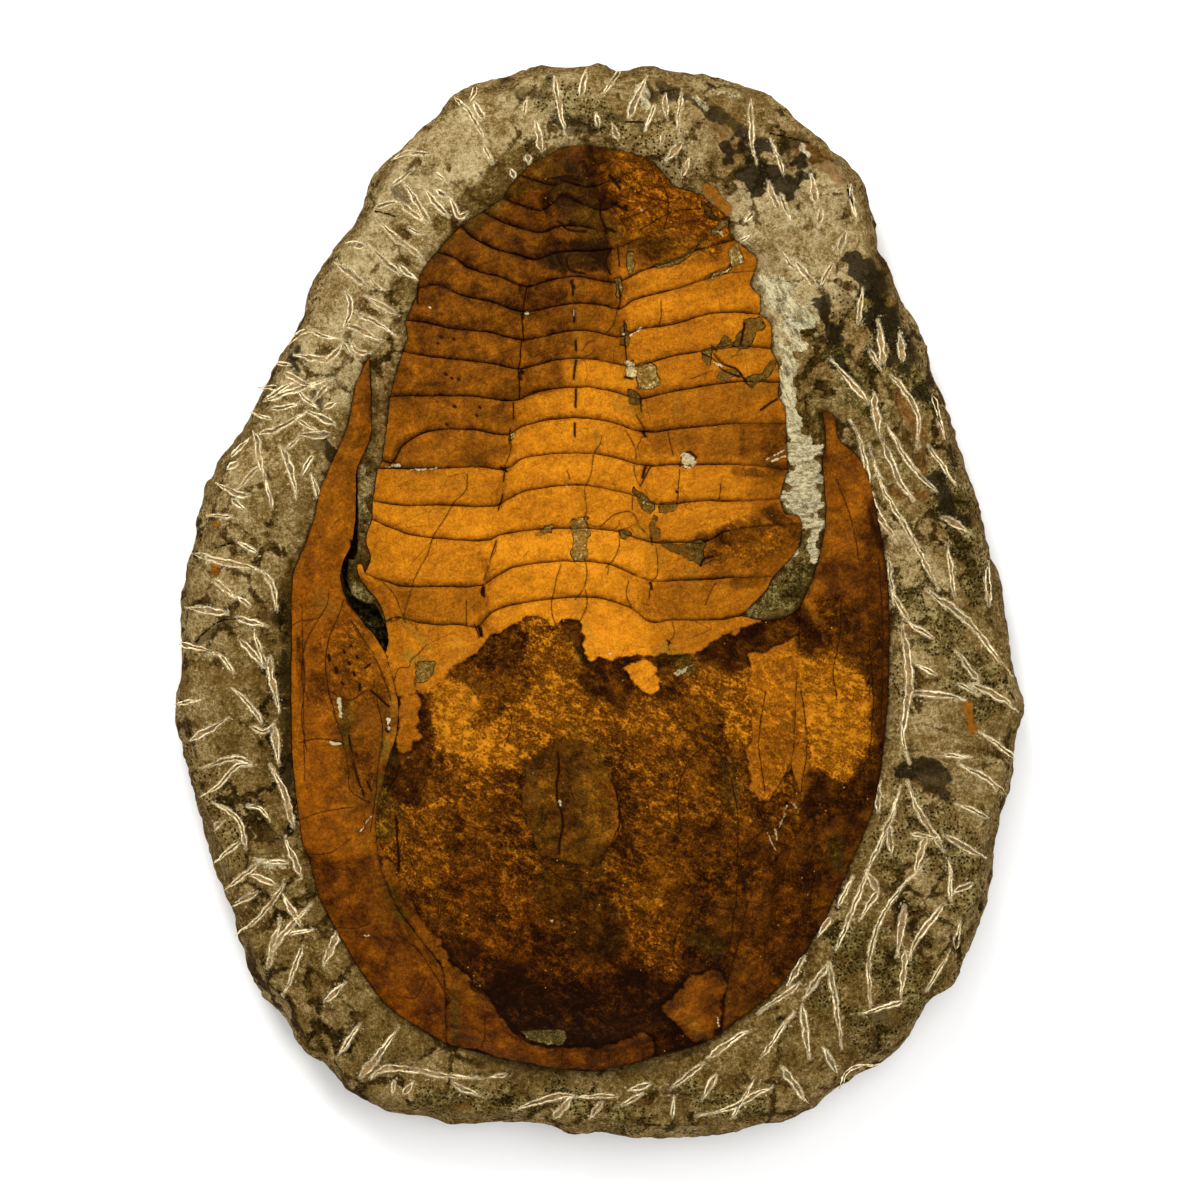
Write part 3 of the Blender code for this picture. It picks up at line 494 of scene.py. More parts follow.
# The stone's tones, lighter at the top left and darker towards the bottom, with a strip of painted
# shadow along the left cheek's outer edge.
ROCK_TONE = (
    "450,228 535,162 8 .44; 405,270 400,340 6 .55; 450,110 360,230 26 .87; 345,240 300,360 26 .80; "
    "500,100 560,90 22 .76; 590,95 640,120 18 .60; 400,180 410,230 12 .70; 290,380 250,440 22 .66; "
    "310,430 330,470 14 .62; 240,480 220,560 24 .66; 280,500 270,560 16 .58; "
    "200,620 190,740 20 .60; 240,640 245,740 18 .54; 272,640 276,800 10 .36; "
    "289,570 290,800 5 .14; 215,780 235,880 22 .50; 260,880 300,960 20 .46; "
    "262,960 300,1040 20 .44; 330,1000 380,1060 18 .46; 400,1080 480,1100 18 .50; "
    "520,1090 640,1105 16 .48; 660,1090 760,1100 18 .50; 780,1060 840,1080 18 .52; "
    "800,1000 860,1030 18 .48; 870,950 920,1000 18 .46; 850,880 900,930 18 .50; "
    "940,860 970,920 18 .56; 900,780 960,840 18 .64; 900,640 940,740 20 .63; "
    "960,640 1005,700 20 .58; 900,560 940,610 18 .66; 950,520 985,590 16 .48; "
    "880,430 930,500 18 .56; 905,405 930,440 12 .52; 930,450 950,480 10 .46; "
    "850,340 900,400 16 .50; 870,270 900,330 14 .46; 790,220 850,270 22 .82; "
    "740,200 760,260 14 .80; 690,130 740,170 18 .66; 780,110 830,150 12 .56; "
    "830,170 860,230 14 .74; 640,80 700,100 12 .60; 820,380 850,420 12 .52; 380,360 385,440 8 .50; "
    "810,385 818,445 8 .34; 352,560 392,645 6 .24; 808,560 812,600 8 .36; 765,290 770,320 10 .84; "
    "660,150 690,175 12 .60"
)
# Dark patches on the stone: black stains, and a painted shadow along the left cheek's outer edge.
ROCK_DARK = (
    "652,80 700,106 6 .6; 700,104 765,150 7 .65; 745,165 782,182 20 .95; 775,150 800,142 5 .6; "
    "866,272 886,322 18 1; 885,330 908,352 13 1; 822,305 832,340 8 .7; 838,362 846,370 6 .8; "
    "840,165 868,215 4 .9; 872,225 900,300 4 .7; 905,765 930,765 9 .9; 935,775 945,800 8 .75; "
    "925,785 940,788 8 .6; 296,338 300,356 6 .8; 290,360 300,372 6 .8; 400,190 408,200 6 .5; "
    "520,92 546,92 7 .5; 545,86 552,78 4 .6; 560,120 600,135 8 .55; 610,120 640,130 5 .5; "
    "380,392 385,400 4 .3; 325,448 334,456 5 .7; 895,358 922,392 10 .62; 935,485 962,520 11 .66; "
    "950,530 985,600 8 .35; 986,600 996,640 4 .4; 860,1010 900,1025 6 .4; 780,1040 800,1060 6 .3; "
    "400,1068 440,1076 6 .35; 200,640 236,618 4 .5; 216,545 240,541 3 .4; 270,615 296,618 7 .5; "
    "270,830 282,850 8 .4; 470,1060 700,1070 6 .35; 284,640 288,790 5 .55; 300,780 320,850 4 .3; "
    "640,80 650,96 6 .6; 318,395 322,410 5 .6; 306,440 320,450 5 .4"
)
ROCK_RUST = (
    "385,169 386,171 3.5 1; 341,246 342,248 3.5 1; 216,523 217,524 4 .9; 216,566 216,574 5 .9; "
    "966,706 971,728 5 .95; 709,190 726,212 6 1; 700,117 716,128 8 .5; 722,132 740,156 8 .5; "
    "806,150 838,176 11 .55; 352,290 362,305 6 .3; 376,450 380,420 7 .35; 385,370 382,440 6 .4; "
    "690,90 740,125 14 .35; 905,628 932,636 4 .6; 590,1098 650,1100 4 .5; 280,870 300,872 4 .5; "
    "345,440 350,462 8 .6; 340,400 350,440 7 .3; 290,500 300,540 8 .25; 905,775 935,790 6 .4; "
    "776,1080 790,1085 4 .4; 460,1104 470,1106 3 .5; 860,420 870,440 6 .3; 880,380 885,400 5 .3; "
    "846,290 860,350 6 .40; 900,396 918,432 9 .60; 937,402 946,442 6 .66; 920,452 922,472 5 .6; "
    "890,492 925,497 5 .55"
)
ROCK_SPECKLE = (
    "890,580 920,615 16 .8; 930,620 985,690 20 .9; 960,540 985,590 14 .8; 900,800 980,880 26 .5; "
    "850,940 930,1000 24 .5; 830,1000 880,1040 18 .5; 700,1095 760,1110 14 .6; "
    "560,1090 640,1110 12 .5; 430,1090 520,1105 12 .5; 860,300 890,350 16 .5; "
    "885,355 925,392 13 .9; 935,475 972,540 14 1; 560,100 620,130 14 .5; 640,140 690,175 14 .3; "
    "210,780 240,850 16 .3; 880,660 900,700 10 .3; 885,830 905,900 14 .5"
)
ROCK_GREEN = (
    "832,350 865,410 12 .6; 872,410 905,470 12 .45; 346,562 356,596 5 1; 356,592 370,600 5 .9; "
    "383,618 390,645 3 .9; 362,470 366,520 4 .5; 790,565 815,572 11 .9; 760,600 800,590 12 .9; "
    "745,612 770,606 7 .8; 808,545 812,560 6 .7; 352,545 350,560 5 .8; 812,390 820,460 7 .35; "
    "880,620 884,700 5 .3; 905,590 912,600 8 .4"
)
ROCK_GOUGE = (
    "775,290 800,318 14 1; 790,325 796,345 9 .9; 787,350 785,400 7 1; 787,400 796,440 7 1; "
    "801,520 791,556 4 .9; 800,450 804,512 17 1; 815,505 813,560 5 .9; 694,100 706,108 4 .6; "
    "712,90 738,96 6 .5; 365,470 367,520 5 .3; 762,598 800,572 10 .3; 802,148 808,158 3 1; "
    "848,190 850,200 2 .5; 870,340 905,350 5 .3; 600,75 640,90 7 .35; 640,90 646,110 5 .7; "
    "296,340 320,352 6 .4; 255,860 285,866 4 .6"
)
BLACK_HOLE = (
    "346,588 356,598 366,603 374,604 380,612 386,625 391,640 390,652 384,652 372,640 362,628 "
    "352,612; 344,548 349,552 348,580 352,596 346,588 343,570; 354,470 357,474 358,540 353,560 "
    "351,540 353,500"
)
# Where the stone's surface needs the smallest features: a place, a place and a reach in pixels.
STONE_CLOSE_UPS = "350,470 350,560 22; 350,560 380,640 26; 780,300 812,530 30; 815,400 770,605 26"

# Mesh sizes, in metres.
HEAD_GRAIN = 0.00046
BODY_GRAIN = 0.00044
STONE_GRAIN = 0.00080
STONE_FINE_GRAIN = 0.00042
LOOP_STEP = 0.00055
OUTLINE_STEP = 0.0013
COARSE_STEP = 0.0055
RIM_STEP = 0.0085
SAMPLE_STEP = 0.0003
CHISEL_STEP = 0.0005
CRACK_STEP = 0.32 * MM
PLATE_CLEARANCE = 0.22 * MM
PLATE_SPACING = 0.14 * MM
STONE_SPACING = 0.3 * MM
CRACK_SIDE = 0.12 * MM
CRACK_CLEARANCE = 0.34 * MM
MARK_CLEARANCE = 0.45 * MM
# Half the gap that shows between two plates, what it changes by and its least.
GAP = 0.045 * MM
GAP_CHANGE = 0.05 * MM
GAP_LEAST = 0.02 * MM
CURVE_PARTS = 8
SIDE_LEVELS = 20
SHARP_ANGLE = 0.9
AXES = (0, 1)

# How drawn lines waver: the waves' height and size in millimetres, and their seed.
WOBBLES = ((0.12, 3.6, 61), (0.07, 1.2, 71))
CHISEL_WOBBLE = 2.2
FACET_CREASE = 0.12
PATCH_REACH = 1.3
PATCH_SOFTNESS = 0.6

# The plates' relief, in metres unless it is a share or a power.
AXIS_ROUNDNESS = 1.2
FURROW_SHARE = 0.6
BRINK_SOFTNESS = 0.45 * MM
CRUST_DEPTH = 0.4 * MM
FILLER_DEPTH = 0.35 * MM
FILLER_UNEVENNESS = 0.6
CRACK_DEPTH_PER_HALF = 1.5
CRACK_REACH_PER_HALF = 1.3
JOINT_GROOVE_DEPTH = 0.15 * MM
JOINT_GROOVE_WIDTH = 0.28 * MM
OVERLAP_DROP = 0.9 * MM
OVERLAP_CURVE = 1.6
LIP_RISE = 0.10 * MM
LIP_PLACE = 0.9 * MM
LIP_WIDTH = 0.8 * MM
TUCK_DEPTH = 0.42 * MM
TUCK_WIDTH = 1.1 * MM
PIT_DEPTH = 0.7 * MM
CRUST_RELIEF = 0.20 * MM
SHELL_RELIEF = 0.12 * MM
SHELL_FINE_RELIEF = 0.035 * MM
FLECK_RISE = 0.25 * MM

# The stone's relief, in metres unless it is a share.
MOAT_SHARE = 0.7
BIG_CHIPS = 2.2 * MM
SMALL_CHIPS = 0.9 * MM
STONE_RELIEF = 0.55 * MM
STONE_FINE_RELIEF = 0.14 * MM
RUBBLE_RELIEF = 1.1 * MM
MARK_LIP_RISE = 0.16 * MM
MARK_DEPTH = 0.55 * MM
ROCK_CRACK_DEPTH = 0.9 * MM
ROCK_CRACK_WIDTH = 0.5 * MM
HOLE_DEPTH = 6 * MM
SIDE_CHIPS = 1.5 * MM
SIDE_RELIEF = 0.5 * MM
# Where the slab's side starts, its layers pass to these values.
SIDE_LAYERS = {
    "chisel": 4.0, "edge": 9.0, "gouge": 0.0, "rust": 0.0, "crack": 4.0, "dark": 0.0,
    "speckle": 0.2, "tone": 0.55,
}
# Rows of points along each chisel mark, in half widths from its middle.
MARK_ROWS = (-1.6, -1, -0.5, 0.5, 1, 1.6)

CAMERA_HEIGHT = 5.0
OUTLINE_HEIGHT = 0.017
FRAME_PIXELS = 1200
SENSOR_WIDTH = 36.0
FLOOR_REACH = 2.5
WORLD_STRENGTH = 0.5
# The lamps: name, place, size, watts and colour.
LIGHTS = (
    ("key_light", (-0.45, 1.15, 1.35), 0.8, 30.0, (1.0, 0.98, 0.95)),
    ("top_light", (0.4, 0.1, 1.7), 1.4, 17.0, (1.0, 1.0, 1.0)),
    ("front_fill", (0.2, -1.5, 1.1), 1.2, 9.0, (0.97, 0.98, 1.0)),
)

# Colours along a value, each from its darkest place to its palest.
SHELL_STOPS = (
    (0.00, (0.0054, 0.0007, 0.0002)), (0.14, (0.018, 0.0030, 0.0004)),
    (0.28, (0.043, 0.0112, 0.0006)), (0.42, (0.088, 0.0252, 0.0010)),
    (0.56, (0.152, 0.0450, 0.0015)), (0.70, (0.250, 0.0770, 0.0024)),
    (0.84, (0.385, 0.1270, 0.0036)), (1.00, (0.570, 0.2020, 0.0070)),
)
OLIVE_STOPS = (
    (0.10, (0.010, 0.0060, 0.0008)), (0.45, (0.050, 0.0275, 0.0022)),
    (0.85, (0.190, 0.100, 0.0080)),
)
FILLER_STOPS = (
    (0.00, (0.007, 0.005, 0.0008)), (0.30, (0.040, 0.027, 0.0040)),
    (0.55, (0.100, 0.066, 0.0120)), (0.80, (0.230, 0.160, 0.0420)), (1.00, (0.60, 0.49, 0.23)),
)
STONE_STOPS = (
    (0.00, (0.009, 0.0048, 0.0008)), (0.19, (0.042, 0.0228, 0.0038)),
    (0.38, (0.114, 0.0640, 0.0130)), (0.56, (0.235, 0.1480, 0.0430)),
    (0.75, (0.460, 0.3400, 0.1530)), (1.00, (0.700, 0.5650, 0.3100)),
)
GREEN_STOPS = (
    (0.43, (0.012, 0.0090, 0.0010)), (0.50, (0.080, 0.0570, 0.0090)), (0.57, (0.38, 0.30, 0.11)),
)
RUST_STOPS = (
    (0.34, (0.050, 0.016, 0.003)), (0.50, (0.17, 0.067, 0.012)), (0.64, (0.36, 0.18, 0.055)),
)
CHALK_STOPS = (
    (0.32, (0.22, 0.14, 0.045)), (0.45, (0.56, 0.43, 0.21)), (0.58, (0.86, 0.73, 0.45)),
)
GOUGE_STOPS = (
    (0.36, (0.050, 0.038, 0.015)), (0.45, (0.33, 0.26, 0.12)), (0.57, (0.80, 0.70, 0.42)),
)
HOLLOW_SHADE_STOPS = (
    (0.46, (0.0030, 0.0024, 0.0010)), (0.54, (0.030, 0.024, 0.0055)), (0.62, (0.17, 0.13, 0.035)),
)
CRUSHED_STOPS = (
    (0.36, (0.20, 0.12, 0.040)), (0.45, (0.52, 0.39, 0.19)), (0.56, (0.86, 0.73, 0.45)),
)

GLOSS_TINT = (1.0, 0.55, 0.16)
RED_TINT = (0.80, 0.48, 0.40)
CRACK_BLACK = (0.0085, 0.0016, 0.0004)
JOINT_BROWN = (0.022, 0.0042, 0.0004)
CRACK_HALO = (0.045, 0.011, 0.0008)
PIT_BLACK = (0.016, 0.003, 0.0005)
FLECK_AND_GLINT_DULL = (0.20, 0.13, 0.05)
FLECK_AND_GLINT_PALE = (0.62, 0.54, 0.34)
GRAIN_OCHRE = (0.46, 0.24, 0.05)
GRAIN_BROWN = (0.030, 0.0068, 0.0006)
OCHRE_TINGE = (0.15, 0.075, 0.012)
MOAT_SHADE_BROWN = (0.036, 0.0175, 0.0022)
SPOT_BLACK = (0.012, 0.008, 0.002)
IRON_DARK = (0.06, 0.015, 0.001)
IRON_BRIGHT = (0.56, 0.20, 0.010)
STAIN_AND_SHADE_BLACK = (0.001, 0.001, 0.0005)
STAIN_AND_SHADE_BROWN = (0.030, 0.020, 0.008)
GROOVE_BROWN = (0.130, 0.072, 0.020)
GROOVE_TAN = (0.40, 0.22, 0.070)
STONE_CRACK = (0.008, 0.005, 0.0015)
TUCKED_SHADE_BROWN = (0.020, 0.0095, 0.0018)
SAWN_TAN = (0.16, 0.115, 0.055)
PAPER_DULL = (0.95, 0.95, 0.945)
PAPER_BRIGHT = (0.98, 0.98, 0.975)


def metres(points):
    """Pixels of the photograph as metres from the slab's middle, +Y up the picture."""
    points = np.asarray(points, dtype=float)
    middle_x = (SLAB_LEFT_PIXEL + SLAB_RIGHT_PIXEL) / 2
    middle_y = (SLAB_TOP_PIXEL + SLAB_BOTTOM_PIXEL) / 2
    return np.column_stack((points[:, 0] - middle_x, middle_y - points[:, 1])) * PIXEL


def line(text):
    """Points written "x,y x,y" in pixels, as metres."""
    return metres([[float(number) for number in pair.split(",")] for pair in text.split()])


def lines(text):
    return [line(part) for part in text.split(";")]


def resampled(points, step):
    """The line with evenly spaced points about a step apart, its ends kept."""
    gone = np.linalg.norm(np.diff(points, axis=0), axis=1)
    gone = np.concatenate(([0.0], np.cumsum(gone)))
    at = np.linspace(0, gone[-1], max(1, int(round(gone[-1] / step))) + 1)
    return np.column_stack([np.interp(at, gone, points[:, axis]) for axis in AXES])


def curve(points, step):
    """A smooth curve through the points, which neither loops nor swings wide."""
    if len(points) > 2:
        gaps = np.linalg.norm(np.diff(points, axis=0), axis=1)
        ends = points[1] - points[0], points[-1] - points[-2]
        heading = np.vstack((ends[0], points[2:] - points[:-2], ends[1]))
        heading /= np.linalg.norm(heading, axis=1)[:, None]
        t = np.linspace(0, 1, CURVE_PARTS + 1)[:-1, None]
        spans = []
        for a, b, leaving, meeting, gap in zip(points, points[1:], heading, heading[1:], gaps):
            spans.append(
                (1 + 2 * t) * (1 - t) ** 2 * a + t * (1 - t) ** 2 * gap * leaving
                + t * t * (3 - 2 * t) * b + t * t * (t - 1) * gap * meeting
            )
        points = np.vstack((*spans, points[-1:]))
    return resampled(points, step)


def closed_curve(points):
    return curve(np.vstack((points, points[:1])), SAMPLE_STEP)


def split(points, step):
    """The line with its own points kept and long stretches divided, as the solids have it."""
    out = [points[0]]
    for a, b in zip(points[:-1], points[1:]):
        count = max(1, int(round(np.linalg.norm(b - a) / step)))
        out.extend(a + (b - a) * (k / count) for k in range(1, count + 1))
    return np.array(out)


def ring(*parts):
    """Lines joined end to end into one closed loop that runs anticlockwise."""
    loop = np.vstack([part[:-1] for part in parts])
    after = np.roll(loop, -1, axis=0)
    area = np.sum(loop[:, 0] * after[:, 1] - after[:, 0] * loop[:, 1])
    return loop if area > 0 else loop[::-1]


def turned_left(heading):
    """Directions of length 1, a quarter turn to the left of the headings."""
    heading = heading / np.linalg.norm(heading, axis=1)[:, None]
    return np.column_stack((-heading[:, 1], heading[:, 0]))


def beside(row):
    """The direction to the left of an open line, at each of its points."""
    return turned_left(np.gradient(row, axis=0))


def sideways(loop, spread=0):
    """The direction inwards at each point of an anticlockwise loop."""
    heading = np.roll(loop, -1, axis=0) - np.roll(loop, 1, axis=0)
    for _ in range(spread):
        heading = heading + np.roll(heading, 1, axis=0) + np.roll(heading, -1, axis=0)
        heading /= 3
    return turned_left(heading)


def untangled(loop):
    """The loop without the small knots where its two sides cross, as at a narrow tip."""
    while True:
        run = np.roll(loop, -1, axis=0) - loop
        gap = loop[None] - loop[:, None]
        turn = run[:, None, 0] * run[None, :, 1] - run[:, None, 1] * run[None, :, 0]
        turn = np.where(turn == 0, 1e-30, turn)
        first = (gap[..., 0] * run[None, :, 1] - gap[..., 1] * run[None, :, 0]) / turn
        second = (gap[..., 0] * run[:, None, 1] - gap[..., 1] * run[:, None, 0]) / turn
        met = (first > 0) & (first < 1) & (second > 0) & (second < 1)
        pairs = np.argwhere(np.triu(met, 2))
        if not len(pairs):
            return loop
        a, b = pairs[0]
        knot = range(a + 1, b + 1)
        loop = np.delete(loop, knot, axis=0) if b - a < len(loop) / 2 else loop[knot]


def hashed(cells, seed):
    """A number from 0 to 1 that belongs to each whole-numbered cell."""
    mixed = np.full(len(cells), seed * 7919 + 17, dtype=np.uint64)
    for axis in range(cells.shape[1]):
        mixed = (mixed ^ cells[:, axis].astype(np.int64).astype(np.uint64)) * np.uint64(
            0x9E3779B97F4A7C15
        )
        mixed ^= mixed >> np.uint64(31)
    return (mixed >> np.uint64(40)).astype(float) / 2.0**24


def noise(points, size, seed):
    """Smooth unevenness from -1 to 1 whose waves are about a size across."""
    at = points / size
    cell = np.floor(at)
    part = at - cell
    part = part**3 * (part * (part * 6 - 15) + 10)
    total = np.zeros(len(points))
    for corner in itertools.product((0, 1), repeat=points.shape[1]):
        share = np.prod(np.where(np.array(corner), part, 1 - part), axis=1)
        total += share * hashed(cell + np.array(corner), seed)
    return 2 * total - 1


def rough(points, size, octaves, seed):
    """Unevenness of several sizes, each half as wide and half as strong as the last."""
    return sum(noise(points, size / 2**n, seed + n) / 2**n for n in range(octaves))


def facets(points, size, seed):
    """Flat chips that tilt at random, each about a size across, from -0.5 to 0.5."""
    home = np.floor(points / size)
    axes = range(points.shape[1])
    nearest, second = np.full((2, len(points)), 9.0)
    tilt = np.zeros(len(points))
    for step in itertools.product((-1, 0, 1), repeat=len(axes)):
        cell = home + np.array(step)
        seat = np.column_stack([hashed(cell, seed + 1 + axis) for axis in axes])
        slope = np.column_stack([hashed(cell, seed + 11 + axis) - 0.5 for axis in axes])
        away = points / size - cell - seat
        apart = np.sqrt(np.sum(away**2, axis=1))
        closer = apart < nearest
        second = np.where(closer, nearest, np.minimum(second, apart))
        tilt = np.where(closer, np.sum(away * slope, axis=1), tilt)
        nearest = np.minimum(nearest, apart)
    return tilt * np.clip((second - nearest) / FACET_CREASE, 0, 1)


def wobble(points, amount=1.0):
    """Moves points a little so that no drawn line stays smooth."""
    moved = points.copy()
    for axis in AXES:
        for height, size, seed in WOBBLES:
            moved[:, axis] += amount * height * MM * noise(points, size * MM, seed + axis)
    return moved


def wandered(points, reach, size, seed):
    """Points moved about, so that what is laid by them gets an uneven edge."""
    return points + reach * np.column_stack(
        [rough(points, size, 3, seed + axis) for axis in AXES]
    )


class Trail:
    """Lines kept as close samples, so that distances to them are quick to find."""

    def __init__(self, parts, widths=None, closed=False):
        places, headings, numbers = [], [], []
        for number, part in enumerate(parts):
            part = np.vstack((part, part[:1])) if closed else part
            part = resampled(part, SAMPLE_STEP)
            heading = np.gradient(part, axis=0)
            places.append(part)
            headings.append(heading / np.linalg.norm(heading, axis=1)[:, None])
            numbers.append(np.full(len(part), number))
        self.places = np.vstack(places)
        self.headings = np.vstack(headings)
        self.numbers = np.concatenate(numbers)
        self.widths = np.array(widths) if widths is not None else np.zeros(len(parts))
        self.tree = KDTree(len(self.places))
        for number, (x, y) in enumerate(self.places):
            self.tree.insert((x, y, 0), number)
        self.tree.balance()

    def nearest(self, points):
        """The distance to the lines, and the number of the closest sample."""
        near = np.array([self.tree.find((x, y, 0))[1] for x, y in points])
        away = points - self.places[near]
        heading = self.headings[near]
        along = np.abs(np.sum(away * heading, axis=1))
        across = away[:, 0] * heading[:, 1] - away[:, 1] * heading[:, 0]
        return np.hypot(across, np.maximum(along - SAMPLE_STEP / 2, 0)), near

    def distance(self, points):
        return self.nearest(points)[0]


def inside(points, loop):
    """Which points lie within the closed loop."""
    after = np.roll(loop, -1, axis=0)
    rise = np.where(after[:, 1] == loop[:, 1], 1.0, after[:, 1] - loop[:, 1])
    found = []
    for some in np.array_split(points, len(points) // 4000 + 1):
        x, y = some[:, 0][:, None], some[:, 1][:, None]
        across = (loop[:, 1] > y) != (after[:, 1] > y)
        at = loop[:, 0] + (y - loop[:, 1]) * (after[:, 0] - loop[:, 0]) / rise
        found.append(np.sum(across & (x < at), axis=1) % 2 == 1)
    return np.concatenate(found)


def within_any(points, loops):
    found = np.zeros(len(points), dtype=bool)
    for loop in loops:
        found |= inside(points, loop[:-1])
    return found


def hex_points(loop, step):
    """Points in a slightly uneven triangular pattern inside the loop."""
    after = np.roll(loop, -1, axis=0)
    found = []
    for number, y in enumerate(np.arange(loop[:, 1].min(), loop[:, 1].max(), step * 0.87)):
        across = (loop[:, 1] > y) != (after[:, 1] > y)
        a, b = loop[across], after[across]
        cuts = np.sort(a[:, 0] + (y - a[:, 1]) * (b[:, 0] - a[:, 0]) / (b[:, 1] - a[:, 1]))
        xs = np.arange(loop[:, 0].min() + (number % 2) * step / 2, loop[:, 0].max(), step)
        xs = xs[np.searchsorted(cuts, xs) % 2 == 1]
        found.append(np.column_stack((xs, np.full(len(xs), y))))
    points = np.vstack(found)
    for axis in AXES:
        points[:, axis] += 0.3 * step * (hashed(np.round(points / step * 4), 81 + axis) - 0.5)
    return points


def thinned(points, spacing):
    """The points without those that share a small square with an earlier one."""
    _, first = np.unique(np.round(points / spacing), axis=0, return_index=True)
    return points[np.sort(first)]


def triangles(loops, extra):
    """Triangles over the area inside the first loop and outside the others.

    All loops run anticlockwise. The points come back with the loops' own points first.
    """
    points = np.vstack([*loops, extra]) if len(extra) else np.vstack(loops)
    walls, starts, first = [], [], 0
    for loop in loops:
        numbers = list(range(first, first + len(loop)))
        around = list(zip(numbers, numbers[1:] + numbers[:1]))
        walls += around
        starts += around if first == 0 else [(b, a) for a, b in around]
        first += len(loop)
    made = delaunay_2d_cdt([Vector(p) for p in points], walls, [], 0, 1e-9, True)
    order = [owners[0] for owners in made[3]]
    faces = [tuple(order[corner] for corner in face) for face in made[2]]
    owner = {}
    for number, (a, b, c) in enumerate(faces):
        owner[a, b] = owner[b, c] = owner[c, a] = number
    closed = set(walls) | {(b, a) for a, b in walls}
    waiting = [owner[edge] for edge in starts]
    kept = set(waiting)
    while waiting:
        a, b, c = faces[waiting.pop()]
        for edge in ((b, a), (c, b), (a, c)):
            number = owner.get(edge)
            if edge not in closed and number not in kept:
                kept.add(number)
                waiting.append(number)
    return points, np.array([faces[number] for number in sorted(kept)])


def skirt(upper, lower):
    """Faces between an anticlockwise loop of point numbers and the loop under it."""
    after, under = np.roll(upper, -1), np.roll(lower, -1)
    return np.vstack(
        (np.column_stack((upper, lower, under)), np.column_stack((upper, under, after)))
    )


def eased(t):
    return t * t * (3 - 2 * t)


def step_up(values, low, high):
    return eased(np.clip((values - low) / (high - low), 0, 1))


def hump(values, width):
    return np.exp(-((values / width) ** 2))


def reaches(points, text):
    """For each listed patch, how far away it is in its own reaches, and its amount."""
    for patch in text.split(";"):
        words = [float(word) for word in patch.replace(",", " ").split()]
        a, b = metres(np.reshape(words[:4], (2, 2)))
        t = np.clip((points - a) @ (b - a) / np.sum((b - a) ** 2), 0, 1)
        away = np.linalg.norm(points - a - t[:, None] * (b - a), axis=1)
        yield (away / (words[4] * PIXEL), *words[5:])


def laid(points, text, ragged=0.5, size=7 * MM):
    """The strength of a finish whose listed patches have ragged, soft edges."""
    strength = np.zeros(len(points))
    edge = ragged * rough(points, size, 4, seed=31)
    for away, amount in reaches(points, text):
        cover = eased(np.clip((PATCH_REACH + edge - away) / PATCH_SOFTNESS, 0, 1))
        strength += (amount - strength) * cover
    return strength


def blended(points, text):
    """A value that passes smoothly from each listed patch to the next."""
    total = np.full(len(points), 1e-12)
    value = np.zeros(len(points))
    for away, amount in reaches(wandered(points, 1.6 * MM, 8 * MM, seed=34), text):
        weight = np.exp(-np.minimum(1.2 * away**2, 2 + 3 * away)) + 1e-9 / (1 + away)
        total += weight
        value += weight * amount
    return value / total


def dents(points, text):
    """Depths from 0 to 1 of small pits, each a short line and a reach in pixels."""
    depth = np.zeros(len(points))
    for away, in reaches(points, text):
        depth = np.maximum(depth, np.exp(-(away**2)))
    return depth


def axis_height(points):
    """What the raised axis adds, with a furrow at each of its sides."""
    rows = np.array(AXIS_ROWS, dtype=float)
    middle = metres(rows[:, [1, 0]])
    at = np.argsort(middle[:, 1])
    x_middle = np.interp(points[:, 1], middle[at, 1], middle[at, 0])
    half = np.interp(points[:, 1], middle[at, 1], rows[at, 2] * PIXEL)
    across = np.abs(points[:, 0] - x_middle)
    across += 0.5 * MM * rough(points, 7 * MM, 2, seed=53)
    arch = np.clip(1 - (across / half) ** 2, 0, 1) ** AXIS_ROUNDNESS
    return AXIS_RISE * arch - FURROW_SHARE * FURROW_DEPTH * hump(across - half, FURROW_WIDTH)


def fossil_height(points, from_edge):
    """The height of the plates' surface: body, raised axis, head, front border and eyes."""
    height = PLATE_MARGIN + PLEURA_RISE * (1 - np.exp(-from_edge / PLEURA_REACH))
    neck = metres([NECK_FADE_PLACE])[0, 1]
    body = np.clip((points[:, 1] - neck) / NECK_FADE, 0, 1)
    height += body * axis_height(points)
    reach = np.array(DOME_REACH) * PIXEL
    out = np.linalg.norm((points - metres([DOME_CENTRE])[0]) / reach, axis=1)
    height += DOME_RISE * np.clip(1 - out**DOME_FLATNESS, 0, 1) ** DOME_STEEPNESS
    beyond = (out - 1) * reach.mean() - BORDER_BEYOND_DOME
    height += BORDER_RISE * hump(beyond, BORDER_WIDTH) * (1 - body)
    for eye in metres([EYE_LEFT, EYE_RIGHT]):
        away = np.linalg.norm(points - eye, axis=1) / EYE_REACH
        height += EYE_RISE * np.exp(-(away**2))
    return height


def lumps(points, level):
    """The stone's broad unevenness, as the solid slab has it."""
    total = np.zeros(len(points))
    for wave, degrees, size in LUMPS:
        direction = np.array((np.cos(np.radians(degrees)), np.sin(np.radians(degrees))))
        total += size * np.sin(2 * np.pi * (points @ direction + level * LUMP_SHIFT) / wave)
    return total


def body_edges(draw):
    """The joint lines, and the body's left and right edge between neighbouring ones."""
    joints = [draw(line(text)) for text in JOINT_LINES]
    left, right = [], []
    for number, (near, far) in enumerate(zip(JOINT_LINES[:-1], JOINT_LINES[1:])):
        near, far = near.split(), far.split()
        left.append(draw(line(f"{near[0]} {LEFT_EDGE[number]} {far[0]}")))
        right.append(draw(line(f"{near[-1]} {RIGHT_EDGE[number]} {far[-1]}")))
    # The neck's wing meets the second segment's edge at that edge's first drawn point.
    met, *rest = LEFT_EDGE[1].split()
    wing_join = draw(line(f"{met} {JOINT_LINES[1].split()[0]}"))
    open_edge = draw(line(" ".join((met, *rest, JOINT_LINES[2].split()[0]))))
    left[1] = np.vstack((wing_join[::-1][:-1], open_edge))
    return joints, left, right, wing_join, open_edge


